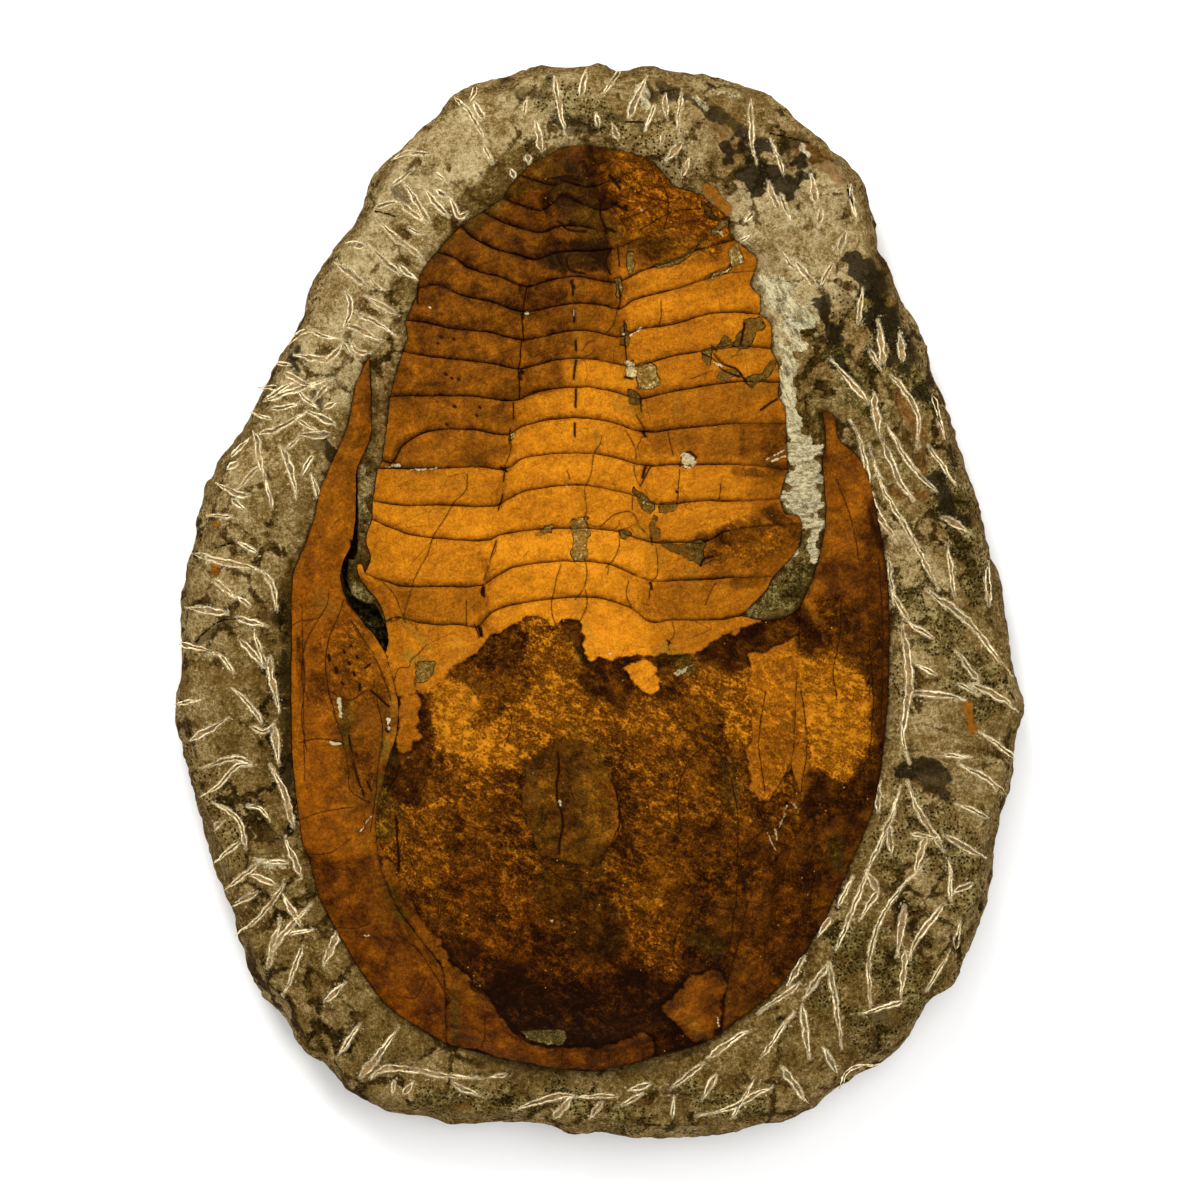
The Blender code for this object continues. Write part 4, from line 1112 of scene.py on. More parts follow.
class Outlines:
    """Every plate's loop and the whole fossil's, drawn one way."""

    def __init__(self, draw):
        joints, left, right, wing_join, open_edge = body_edges(draw)
        last = JOINT_LINES[-1].split()
        tail, wing, neck, left_seam, right_seam, front = (
            draw(line(text)) for text in (
                f"{last[0]} {TAIL_EDGE} {last[-1]}", NECK_WING, NECK_RIGHT, LEFT_SEAM,
                RIGHT_SEAM, FRONT_EDGE,
            )
        )
        left_inner, left_outer, right_inner, right_outer = (
            draw(line(text)) for text in (
                LEFT_CHEEK_INNER, LEFT_CHEEK_OUTER, RIGHT_CHEEK_INNER, RIGHT_CHEEK_OUTER,
            )
        )
        self.joints = joints
        self.fossil = ring(
            left_inner[::-1], wing, open_edge, *left[2:], tail,
            *[side[::-1] for side in reversed(right)], neck, right_inner[::-1],
            right_outer[::-1], front[::-1], left_outer[::-1],
        )
        self.cranidium = ring(
            wing, wing_join, left[0][::-1], joints[0], neck, right_seam[::-1], front[::-1],
            left_seam,
        )
        self.cheek_left = ring(left_inner, left_outer, left_seam)
        self.cheek_right = ring(right_outer, right_inner, right_seam[::-1])
        self.segments = [
            ring(joints[n], right[n], joints[n + 1][::-1], left[n][::-1])
            for n in range(len(left))
        ]
        self.pygidium = ring(joints[-1], tail[::-1])


solid_outlines = Outlines(lambda points: split(points, COARSE_STEP))
fine_outlines = Outlines(lambda points: wobble(curve(points, LOOP_STEP)))
fossil_edge = Trail([solid_outlines.fossil], closed=True)
slab_line = line(f"{SLAB_EDGE} {SLAB_EDGE.split()[0]}")
slab_outline = ring(curve(slab_line, OUTLINE_STEP))
slab_rim = Trail([ring(split(slab_line, RIM_STEP))], closed=True)
filler_loops = [closed_curve(line(text)) for _, text in FILLERS]
filler_edges = Trail(filler_loops)
holes = [wobble(closed_curve(part)) for part in lines(BLACK_HOLE)]
hole_edges = Trail(holes)
crack_parts = [
    (wobble(curve(part, SAMPLE_STEP)), width)
    for width, text in CRACKS.items() for part in lines(text)
]
shell_cracks = Trail([part for part, _ in crack_parts], [width * MM for _, width in crack_parts])
shell_end = curve(line(SHELL_END), SAMPLE_STEP)
shell_islands = [closed_curve(part) for part in lines(SHELL_ISLANDS)]
shell_brinks = Trail([shell_end, *shell_islands])
rock_cracks = Trail([wobble(curve(part, SAMPLE_STEP)) for part in lines(ROCK_CRACKS)])
chisel_lines = [wobble(curve(part, SAMPLE_STEP), CHISEL_WOBBLE) for part in lines(CHISEL_MARKS)]
chisel_trail = Trail(chisel_lines)


def linked(obj):
    bpy.context.scene.collection.objects.link(obj)
    return obj


def mesh_piece(name, points, faces, layers, material):
    """One object from plain arrays, with its point layers for the finish to read."""
    mesh = bpy.data.meshes.new(name)
    mesh.vertices.add(len(points))
    mesh.vertices.foreach_set("co", points.astype(np.float32).ravel())
    mesh.loops.add(3 * len(faces))
    mesh.loops.foreach_set("vertex_index", faces.astype(np.int32).ravel())
    mesh.polygons.add(len(faces))
    mesh.polygons.foreach_set("loop_start", np.arange(0, 3 * len(faces), 3, dtype=np.int32))
    mesh.update(calc_edges=True)
    for layer, values in layers.items():
        attribute = mesh.attributes.new(layer, "FLOAT", "POINT")
        attribute.data.foreach_set("value", values.astype(np.float32))
    mesh.shade_smooth()
    mesh.set_sharp_from_angle(angle=SHARP_ANGLE)
    mesh.materials.append(material)
    return linked(bpy.data.objects.new(name, mesh))


def shell_left(points):
    """How far each point is inside the smooth outer shell, or outside it as a minus."""
    on_shell = points[:, 1] > np.interp(points[:, 0], shell_end[:, 0], shell_end[:, 1])
    on_shell |= within_any(points, shell_islands)
    away = shell_brinks.distance(points) * np.where(on_shell, 1, -1)
    return away + 1.1 * MM * rough(points, 4 * MM, 4, seed=57)


def filled(points):
    """How pale each point's filler is, and how far inside the filler's edge the point is."""
    points = wandered(points, 0.7 * MM, 3 * MM, seed=61)
    paleness = np.zeros(len(points))
    within = np.zeros(len(points), dtype=bool)
    for (pale, _), loop in zip(FILLERS, filler_loops):
        close = np.all((points > loop.min(axis=0)) & (points < loop.max(axis=0)), axis=1)
        here = np.flatnonzero(close)
        here = here[inside(points[here], loop[:-1])]
        paleness[here] = pale
        within[here] = True
    away, near = filler_edges.nearest(points)
    outside = np.array([pale for pale, _ in FILLERS])[filler_edges.numbers[near]]
    paleness = np.where(within, paleness, outside)
    return paleness, away * np.where(within, 1, -1)


def evened(values, faces, rounds):
    """Values with each point's made more like those of its neighbours."""
    sides = np.vstack((faces[:, :2], faces[:, 1:], faces[:, ::2]))
    pairs = np.unique(np.sort(sides, axis=1), axis=0)
    count = np.bincount(pairs.ravel(), minlength=len(values))
    for _ in range(rounds):
        around = np.bincount(pairs[:, 0], values[pairs[:, 1]], len(values))
        around += np.bincount(pairs[:, 1], values[pairs[:, 0]], len(values))
        values = 0.4 * values + 0.6 * around / count
    return values


def shell_surface(points, faces, rim, crusted, near_joint=None, far_joint=None):
    """A plate's heights and its finish layers.

    The rim is how far each point is from the plate's own edge. The near joint is on the
    plate's head side, where it slips under its neighbour, and the far one on its tail side.
    """
    left = shell_left(points) if crusted else np.full(len(points), 9 * MM)
    smooth = step_up(left, -BRINK_SOFTNESS, BRINK_SOFTNESS)
    tone = blended(points, SHELL_TONE)
    if crusted:
        tone = blended(points, CRUST_TONE) * (1 - smooth) + tone * smooth
    pale, within = filled(points)
    filler = step_up(within, -0.1 * MM, 0.15 * MM)
    sealed = laid(points, SHELL_SEALED)
    layers = {
        "tone": tone + laid(points, SHELL_STAINS_AND_SHADE),
        "grain": np.maximum(1 - smooth, laid(points, SHELL_GRAIN)),
        "brink": np.clip(left / MM, -4, 4),
        "filler": pale,
        "filler_edge": np.clip(within / MM, -3, 3),
        "sealed": sealed,
        "olive": laid(points, SHELL_OLIVE, 0.35, 3 * MM),
        "red": laid(points, SHELL_RED),
        "pale": laid(points, SHELL_FLECKS_AND_GLINTS, 0.7, 1.6 * MM),
        "rim": rim / MM,
        "lap": np.full(len(points), 9.0),
    }
    height = fossil_height(points, evened(fossil_edge.distance(points), faces, rounds=14))
    height -= CRUST_DEPTH * (1 - smooth) * step_up(rim, 0, 1.5 * MM)
    unevenness = 1 - FILLER_UNEVENNESS * noise(points, 1.4 * MM, seed=59)
    height -= FILLER_DEPTH * filler * step_up(rim, 0, 1.0 * MM) * unevenness
    open_joint = 1 - sealed
    away, near = shell_cracks.nearest(points)
    half = shell_cracks.widths[shell_cracks.numbers[near]] / 2
    layers["crack"] = np.minimum((away - half) / MM, 4.0)
    height -= CRACK_DEPTH_PER_HALF * half * hump(away, half * CRACK_REACH_PER_HALF)
    height -= JOINT_GROOVE_DEPTH * open_joint * np.exp(-rim / JOINT_GROOVE_WIDTH)
    if near_joint is not None:
        from_near = near_joint.distance(points)
        if far_joint is not None:
            from_far = far_joint.distance(points)
            share = from_near / np.maximum(from_near + from_far, 1e-6)
            height -= OVERLAP_DROP * (1 - 0.7 * sealed) * (1 - share) ** OVERLAP_CURVE
            height += LIP_RISE * open_joint * hump(from_far - LIP_PLACE, LIP_WIDTH)
        height -= TUCK_DEPTH * open_joint * np.exp(-from_near / TUCK_WIDTH)
        layers["lap"] = np.minimum(from_near / MM, 9.0)
    layers["pit"] = dents(points, SHELL_PITS)
    height -= PIT_DEPTH * layers["pit"]
    height += layers["grain"] * (CRUST_RELIEF * rough(points, 1.9 * MM, 2, seed=5) - 0.1 * MM)
    height += (SHELL_RELIEF * rough(points, 6 * MM, 3, seed=9)
               + SHELL_FINE_RELIEF * noise(points, 1.1 * MM, seed=10))
    height += layers["pale"] * FLECK_RISE * (0.4 + noise(points, 0.7 * MM, seed=15))
    return height, layers


def crack_rows(loop):
    """Points along the middle and both sides of every crack that crosses the loop."""
    rows = []
    for part, width in crack_parts:
        row = resampled(part, CRACK_STEP)
        aside = beside(row) * (width * MM * 0.5 + CRACK_SIDE)
        rows += [row, row + aside, row - aside]
    rows = np.vstack(rows)
    rows = rows[np.all((rows > loop.min(axis=0)) & (rows < loop.max(axis=0)), axis=1)]
    return rows[inside(rows, loop)] if len(rows) else rows


def plate(name, node, slot, loop, step, material, near_joint=None, far_joint=None, crusted=False):
    """One plate of the shell: a closed solid that stands in the slab's pocket."""
    uneven = noise(loop, 2.3 * MM, seed=3) + 0.7 * noise(loop, 9 * MM, seed=4)
    gap = np.maximum(GAP + GAP_CHANGE * uneven, GAP_LEAST)
    loop = untangled(loop + sideways(loop) * gap[:, None])
    own_edge = Trail([loop], closed=True)
    inner = hex_points(loop, step)
    cracked = crack_rows(loop)
    if len(cracked):
        inner = inner[shell_cracks.distance(inner) > CRACK_CLEARANCE]
    points = np.vstack((inner, cracked))
    points = points[own_edge.distance(points) > PLATE_CLEARANCE]
    points, top = triangles([loop], thinned(points, PLATE_SPACING))
    count = len(loop)
    rim = own_edge.distance(points)
    rim[:count] = 0
    height, layers = shell_surface(points, top, rim, crusted, near_joint, far_joint)
    upper = np.column_stack((points, height))
    bottom = np.column_stack((loop, np.full(count, POCKET_FLOOR + JOINT)))
    _, under = triangles([loop], [])
    below = np.arange(count) + len(points)
    faces = np.vstack((top, skirt(np.arange(count), below), under[:, ::-1] + len(points)))
    layers = {key: np.concatenate((values, values[:count])) for key, values in layers.items()}
    piece = mesh_piece(name, np.vstack((upper, bottom)), faces, layers, material)
    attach(piece, "root")
    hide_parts(node)
    return piece


def into_hole(points):
    """How far each point is inside the black hollow, or outside it as a minus."""
    return hole_edges.distance(points) * np.where(within_any(points, holes), 1, -1)


def stone_height(points, away, chisel, half):
    """The height of the stone round the fossil, with its chips, cracks and chisel grooves."""
    fall = RIM_EDGE_DROP * hump(slab_rim.distance(points), RIM_EDGE_REACH)
    moat = MOAT_SHARE * MOAT_DEPTH * hump(away, MOAT_REACH)
    clear = 1 - hump(away, MOAT_REACH)
    height = RIM_HEIGHT - fall - moat + clear * lumps(points, 0)
    fresh = 0.35 + 0.65 * clear
    bent = points + 0.8 * MM * noise(points, 3 * MM, seed=44)[:, None]
    height += fresh * (BIG_CHIPS * facets(bent, 10 * MM, seed=21)
                       + SMALL_CHIPS * facets(bent, 4 * MM, seed=22))
    height += fresh * (STONE_RELIEF * rough(points, 6 * MM, 4, seed=25)
                       + STONE_FINE_RELIEF * noise(points, 1.2 * MM, seed=29))
    rubble = laid(points, ROCK_GREEN, 0.6, 3 * MM)
    height += RUBBLE_RELIEF * rubble * facets(points, 1.8 * MM, seed=27)
    across = chisel / np.maximum(half, 0.2 * MM)
    height += MARK_LIP_RISE * hump(across - 1, 0.45) - MARK_DEPTH * hump(across, 0.7)
    height -= ROCK_CRACK_DEPTH * hump(rock_cracks.distance(points), ROCK_CRACK_WIDTH)
    deep = step_up(into_hole(points), -0.3 * MM, 0.5 * MM)
    return height - HOLE_DEPTH * deep * (1 + 0.3 * noise(points, 2 * MM, seed=37))


def chisel_reach(points):
    """Distance to the nearest chisel mark, and that mark's half width there."""
    away, near = chisel_trail.nearest(points)
    number = chisel_trail.numbers[near]
    starts = np.searchsorted(chisel_trail.numbers, np.arange(len(chisel_lines)))
    counts = np.bincount(chisel_trail.numbers)
    along = (near - starts[number]) / np.maximum(counts[number] - 1, 1)
    full = (0.40 + 0.52 * hashed(number[:, None], seed=5)) * MM
    blunt = np.where(hashed(number[:, None], seed=6) < 0.5, along, 1 - along)
    taper = np.clip(blunt * 7, 0.25, 1) * np.clip((1 - blunt) * 2.2, 0.2, 1)
    uneven = 1 + 0.35 * noise(chisel_trail.places[near], 2.2 * MM, seed=93)
    return away, full * taper * uneven


def stone_layers(points, away, chisel, half):
    return {
        "tone": blended(points, ROCK_TONE),
        "dark": laid(points, ROCK_DARK, 0.9, 5 * MM),
        "speckle": laid(points, ROCK_SPECKLE, 0.9),
        "green": laid(points, ROCK_GREEN, 0.6, 3 * MM),
        "rust": laid(points, ROCK_RUST, 0.35, 3 * MM),
        "gouge": laid(points, ROCK_GOUGE, 0.6, 3 * MM),
        "chisel": np.minimum((chisel - half) / MM, 4.0),
        "edge": np.minimum(slab_rim.distance(points) / MM, 9.0),
        "moat": np.minimum(away / MM, 12.0),
        "crack": np.minimum(rock_cracks.distance(points) / MM, 4.0),
        "hole": np.clip(into_hole(points) / MM, -2, 2),
    }


def side_ring(outline, inward, share, top_height):
    """One level of the slab's broken side, as a share of the way up to the top's edge."""
    z = share * top_height
    nominal = share * SIDE_HEIGHTS[-1]
    inset = np.interp(nominal, SIDE_HEIGHTS, SIDE_INSETS)
    place = np.column_stack((outline, z))
    chipped = SIDE_CHIPS * facets(place * (1, 1, 1.4), 10 * MM, seed=41)
    chipped += SIDE_RELIEF * rough(place, 4 * MM, 3, seed=47)
    lumpy = 0.8 * lumps(outline, nominal) * min(1, 4 * (1 - share) + 0.2)
    return outline + inward * (inset + chipped + lumpy)[:, None], z


def stone_points(edge, pocket):
    """Where the stone's top has points: finer in its close-ups, in rows along its marks."""
    inner = hex_points(edge, STONE_GRAIN)
    near = hex_points(edge, STONE_FINE_GRAIN)
    inner = np.vstack((
        inner[~(dents(inner, STONE_CLOSE_UPS) > 0.4)], near[dents(near, STONE_CLOSE_UPS) > 0.4]
    ))
    away, half = chisel_reach(inner)
    inner = inner[away > half + MARK_CLEARANCE]
    rows = []
    for part in chisel_lines:
        row = resampled(part, CHISEL_STEP)
        if len(row) < 3:
            continue
        aside = beside(row)
        _, width = chisel_reach(row)
        rows += [row, *(row + aside * (width * share)[:, None] for share in MARK_ROWS)]
    inner = np.vstack((inner, *rows))
    inner = inner[inside(inner, edge)]
    inner = inner[~inside(inner, pocket)]
    inner = inner[Trail([edge, pocket], closed=True).distance(inner) > STONE_SPACING]
    return thinned(inner, STONE_SPACING)


def slab(material):
    """The stone: sawn back, broken side, chiselled rim and the pocket for the plates."""
    inward = sideways(slab_outline, spread=14)
    top_height = np.full(len(slab_outline), SIDE_HEIGHTS[-1])
    edge, _ = side_ring(slab_outline, inward, 1.0, top_height)
    fossil = fine_outlines.fossil
    pocket = untangled(fossil - sideways(fossil) * 0.12 * MM)
    points, top = triangles([edge, pocket], stone_points(edge, pocket))
    away = fossil_edge.distance(points)
    chisel, half = chisel_reach(points)
    height = stone_height(points, away, chisel, half)
    layers = stone_layers(points, away, chisel, half)
    count, pocket_count = len(edge), len(pocket)
    levels = [np.column_stack((points, height))]
    layer_rows = [layers]
    faces = [top]
    upper = np.arange(count)
    start = len(points)
    rim_layers = {key: values[:count] for key, values in layers.items()}
    for share in np.linspace(1, 0, SIDE_LEVELS)[1:]:
        loop, z = side_ring(slab_outline, inward, share, height[:count])
        levels.append(np.column_stack((loop, z)))
        lower = np.arange(start, start + count)
        faces.append(skirt(upper, lower))
        reached = min(1, 6 * (1 - share))
        layer_rows.append({
            key: values + (SIDE_LAYERS.get(key, values) - values) * reached
            for key, values in rim_layers.items()
        })
        upper = lower
        start += count
    _, back = triangles([loop], [])
    faces.append(upper[back[:, ::-1]])
    levels.append(np.column_stack((pocket, np.full(pocket_count, POCKET_FLOOR))))
    mouth = np.arange(count, count + pocket_count)
    layer_rows.append({key: values[mouth] for key, values in layers.items()})
    floor = np.arange(start, start + pocket_count)
    faces.append(skirt(mouth, floor)[:, ::-1])
    _, base = triangles([pocket], [])
    faces.append(floor[base])
    joined = {key: np.concatenate([row[key] for row in layer_rows]) for key in layers}
    piece = mesh_piece("stone_slab", np.vstack(levels), np.vstack(faces), joined, material)
    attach(piece, "root")
    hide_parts("matrix_slab")
    return piece


def add_node(tree, kind, inputs=None, **settings):
    """One node, its settings made and its inputs given values or linked to outputs."""
    made = tree.nodes.new(kind)
    for key, value in settings.items():
        setattr(made, key, value)
    for key, value in (inputs or {}).items():
        plug(tree, made.inputs[key], value)
    return made


def plug(tree, socket, value):
    value = getattr(value, "socket", value)
    if isinstance(value, bpy.types.NodeSocket):
        tree.links.new(value, socket)
    else:
        socket.default_value = value


class Field:
    """A value that varies over the surface, and the sums that it can take part in."""

    def __init__(self, finish, socket):
        self.finish, self.socket = finish, socket

    def __add__(self, other):
        return self.finish.math("ADD", self, other)

    def __sub__(self, other):
        return self.finish.math("SUBTRACT", self, other)

    def __rsub__(self, other):
        return self.finish.math("SUBTRACT", other, self)

    def __mul__(self, other):
        return self.finish.math("MULTIPLY", self, other)

    __radd__, __rmul__ = __add__, __mul__

    def swing(self, amount):
        """How far a value from 0 to 1 is from its middle, times the amount."""
        return (self - 0.5) * amount

    def between(self, low, high):
        """0 where the value is at low or beyond, 1 at high, with soft ends."""
        return self.finish.field(
            "ShaderNodeMapRange", {"Value": self, "From Min": low, "From Max": high}, "Result",
            interpolation_type="SMOOTHSTEP",
        )


class Finish:
    """A procedural finish, put together from shader nodes coat by coat."""

    def __init__(self, name, roughness, specular=0.1):
        self.material = bpy.data.materials.new(name)
        self.material.use_nodes = True
        self.tree = self.material.node_tree
        self.shader = self.tree.nodes["Principled BSDF"]
        self.shader.inputs["Specular IOR Level"].default_value = specular
        self.shader.inputs["Roughness"].default_value = roughness
        self.shader.inputs["Specular Tint"].default_value = (*GLOSS_TINT, 1.0)
        self.place = self.field("ShaderNodeTexCoord", None, "Object")
        self.colour = None

    def field(self, kind, inputs, output, **settings):
        return Field(self, add_node(self.tree, kind, inputs, **settings).outputs[output])

    def layer(self, name):
        return self.field("ShaderNodeAttribute", None, "Fac", attribute_name=name)

    def math(self, operation, a, b=0.0, clamp=False):
        return self.field("ShaderNodeMath", {0: a, 1: b}, 0, operation=operation, use_clamp=clamp)

    def stretched(self, degrees, longer):
        """The place, drawn out along one direction, for streaks and scratches."""
        turn = (0, 0, np.radians(degrees))
        return self.field(
            "ShaderNodeMapping",
            {"Vector": self.place, "Rotation": turn, "Scale": (longer, 1, 1)}, "Vector",
            vector_type="TEXTURE",
        )

    def along(self, axis):
        return self.field("ShaderNodeSeparateXYZ", {0: self.place}, axis)

    def noise(self, size, detail=4.0, ragged=0.55, place=None, warp=0.0):
        """Noise from 0 to 1 around 0.5 whose waves are about a size across."""
        return self.field(
            "ShaderNodeTexNoise",
            {"Vector": place or self.place, "Scale": 1 / size, "Detail": detail,
             "Roughness": ragged, "Distortion": warp}, "Fac",
        )

    def cells(self, size, feature="F1", place=None):
        """The distance to the nearest seed or edge, and a random colour for each cell."""
        made = add_node(
            self.tree, "ShaderNodeTexVoronoi",
            {"Vector": place or self.place, "Scale": 1 / size}, feature=feature,
        )
        return Field(self, made.outputs["Distance"]), made.outputs.get("Color")

    def mix(self, share, first, second, blend="MIX"):
        first, second = (
            (*tone, 1.0) if isinstance(tone, tuple) else tone for tone in (first, second)
        )
        return self.field(
            "ShaderNodeMix", {0: share, 6: first, 7: second}, 2, data_type="RGBA",
            blend_type=blend,
        )

    def coat(self, share, tone, blend="MIX"):
        """Lays a colour over what is there already, where the share is above 0."""
        self.colour = self.mix(share, self.colour, tone, blend)

    def ramp(self, value, stops):
        made = add_node(self.tree, "ShaderNodeValToRGB", {"Fac": value})
        elements = made.color_ramp.elements
        while len(elements) < len(stops):
            elements.new(0.5)
        for element, (place, colour) in zip(elements, stops):
            element.position = place
            element.color = (*colour, 1.0)
        return Field(self, made.outputs["Color"])

    def done(self, height, distance, roughness=None):
        bump = {"Height": height, "Distance": distance, "Strength": 1.0}
        for name, value in (
            ("Base Color", self.colour),
            ("Normal", self.field("ShaderNodeBump", bump, "Normal")),
            ("Roughness", roughness),
        ):
            if value is not None:
                plug(self.tree, self.shader.inputs[name], value)
        return self.material


def shell_finish(name, mottle):
    """Ochre to dark brown fossil shell: mottled, cracked, crusted where the grain layer is."""
    finish = Finish(name, 0.6, 0.10)
    tone, grain, sealed = (finish.layer(key) for key in ("tone", "grain", "sealed"))
    broad = finish.noise(14 * MM, 4, 0.6)
    middle = finish.noise(4.0 * MM, 6, 0.66, warp=0.5)
    fine = finish.noise(1.1 * MM, 5, 0.7)
    grit = finish.noise(0.55 * MM, 3, 0.65)
    streaks = finish.noise(2.0 * MM, 5, 0.65, finish.stretched(16, 4.0))
    scratches = finish.noise(1.5 * MM, 6, 0.75, finish.stretched(-24, 3.0), 0.4)
    crust = finish.noise(2.1 * MM, 7, 0.74, finish.stretched(-30, 1.5), 0.3).between(0.36, 0.64)
    seeds, _ = finish.cells(0.95 * MM)

    # How bright the shell is, from the drawn tones with their painted shade, the mottling and the
    # crust.
    # The crust's colour follows its relief: paler on its raised bits and darker in its low ones,
    # partly as painted light and shade.
    value = tone + broad.swing(0.26) + middle.swing(mottle) + fine.swing(0.48)
    value = value + grit.swing(0.34) + streaks.swing(0.34)
    blotches = finish.noise(7 * MM, 5, 0.7, warp=0.6).swing(1.0)
    value = value + blotches * tone.between(0.72, 0.42)
    crusted = crust.swing(0.46) + grit.swing(0.55) + scratches.swing(0.80)
    crusted = crusted + (seeds - 0.40) * -0.32
    busy = finish.noise(17 * MM, 3).between(0.40, 0.60) * 0.45 + tone.between(0.25, 0.90) * 1.15
    crusted = finish.math("MAXIMUM", crusted * (busy + 0.25), fine * 0.18 + -0.30)
    value = value + grain * crusted

    # The shade where a plate slips under the next, at its rim and below the shell's step.
    shown = 1.0 - sealed
    lap = finish.layer("lap") + middle.swing(2.4)
    value = value - (lap.between(2.6, 0.1) * 0.14 + lap.between(0.9, 0.0) * 0.14) * shown
    rim = finish.layer("rim") + fine.swing(0.35)
    value = value + rim.between(1.2, 0.0) * (broad * -0.13)
    brink = finish.layer("brink") + middle.swing(1.6)
    value = value + brink.between(-2.0, -0.3) * brink.between(0.2, -0.2) * -0.16
    finish.colour = finish.ramp(finish.math("ADD", value, 0.0, clamp=True), SHELL_STOPS)
    finish.coat(finish.layer("red") * 0.5, RED_TINT, "MULTIPLY")
    olive_tone = finish.ramp(value + middle.swing(0.3), OLIVE_STOPS)
    finish.coat(finish.layer("olive") * middle.between(0.26, 0.58), olive_tone)

    # Set-in stone, cracks, joints, pits, pale flecks and painted glints.
    stone = finish.layer("filler") + fine.swing(1.3) + middle.swing(0.9) + grit.swing(0.6)
    filler_edge = finish.layer("filler_edge") + fine.swing(0.5)
    patchy = finish.math("ADD", middle * 0.9, 0.35, True)
    finish.coat(filler_edge.between(-0.20, 0.30) * patchy, finish.ramp(stone, FILLER_STOPS))
    outline = filler_edge.between(-0.40, -0.05) * filler_edge.between(0.30, 0.0)
    crack = finish.layer("crack") + fine.swing(0.30)
    plates, _ = finish.cells(10 * MM, "DISTANCE_TO_EDGE", finish.stretched(10, 0.8))
    craze = plates.between(0.012, 0.003) * finish.noise(12 * MM, 3).between(0.50, 0.58)
    kept = finish.noise(5 * MM, 3, 0.6).between(0.30, 0.56) * shown
    finish.coat(crack.between(0.6, 0.0) * 0.30, CRACK_HALO)
    finish.coat(outline * middle.between(0.34, 0.56), CRACK_BLACK)
    finish.coat(rim.between(0.12, -0.05) * (kept * 0.42 + 0.08), JOINT_BROWN)
    finish.coat(craze * 0.55, JOINT_BROWN)
    finish.coat(crack.between(0.09, -0.07) * broad.between(0.25, 0.45) * 0.92, CRACK_BLACK)
    finish.coat((finish.layer("pit") + fine.swing(0.8)).between(0.32, 0.75), PIT_BLACK)
    # Pale flecks and painted glints.
    fleck_and_glint_tone = finish.mix(fine, FLECK_AND_GLINT_DULL, FLECK_AND_GLINT_PALE)
    finish.coat((finish.layer("pale") + fine.swing(2.0)).between(0.45, 0.75), fleck_and_glint_tone)

    # Single grains, a few bright and more of them dark.
    from_seed, cell_colour = finish.cells(1.9 * MM)
    picked = add_node(finish.tree, "ShaderNodeSeparateColor", {0: cell_colour}).outputs
    bright = Field(finish, picked[0]).between(0.88, 0.90) * from_seed.between(0.17, 0.09)
    finish.coat(bright * grain, GRAIN_OCHRE)
    dot = Field(finish, picked[1]).between(0.66, 0.70) * from_seed.between(0.24, 0.12)
    finish.coat(dot * (grain * 0.45 + 0.25), GRAIN_BROWN)

    relief = fine * 0.30 + middle * 0.35 + grit * 0.12 + streaks * 0.15
    crusty = crust * 0.9 + scratches * 1.2 + seeds * -0.7 + grit * 0.5
    relief = relief + grain * crusty + filler_edge.between(-0.1, 0.3) * (fine * 0.8)
    return finish.done(relief, 0.55 * MM, 0.44 + grain * 0.2 + middle * 0.14)


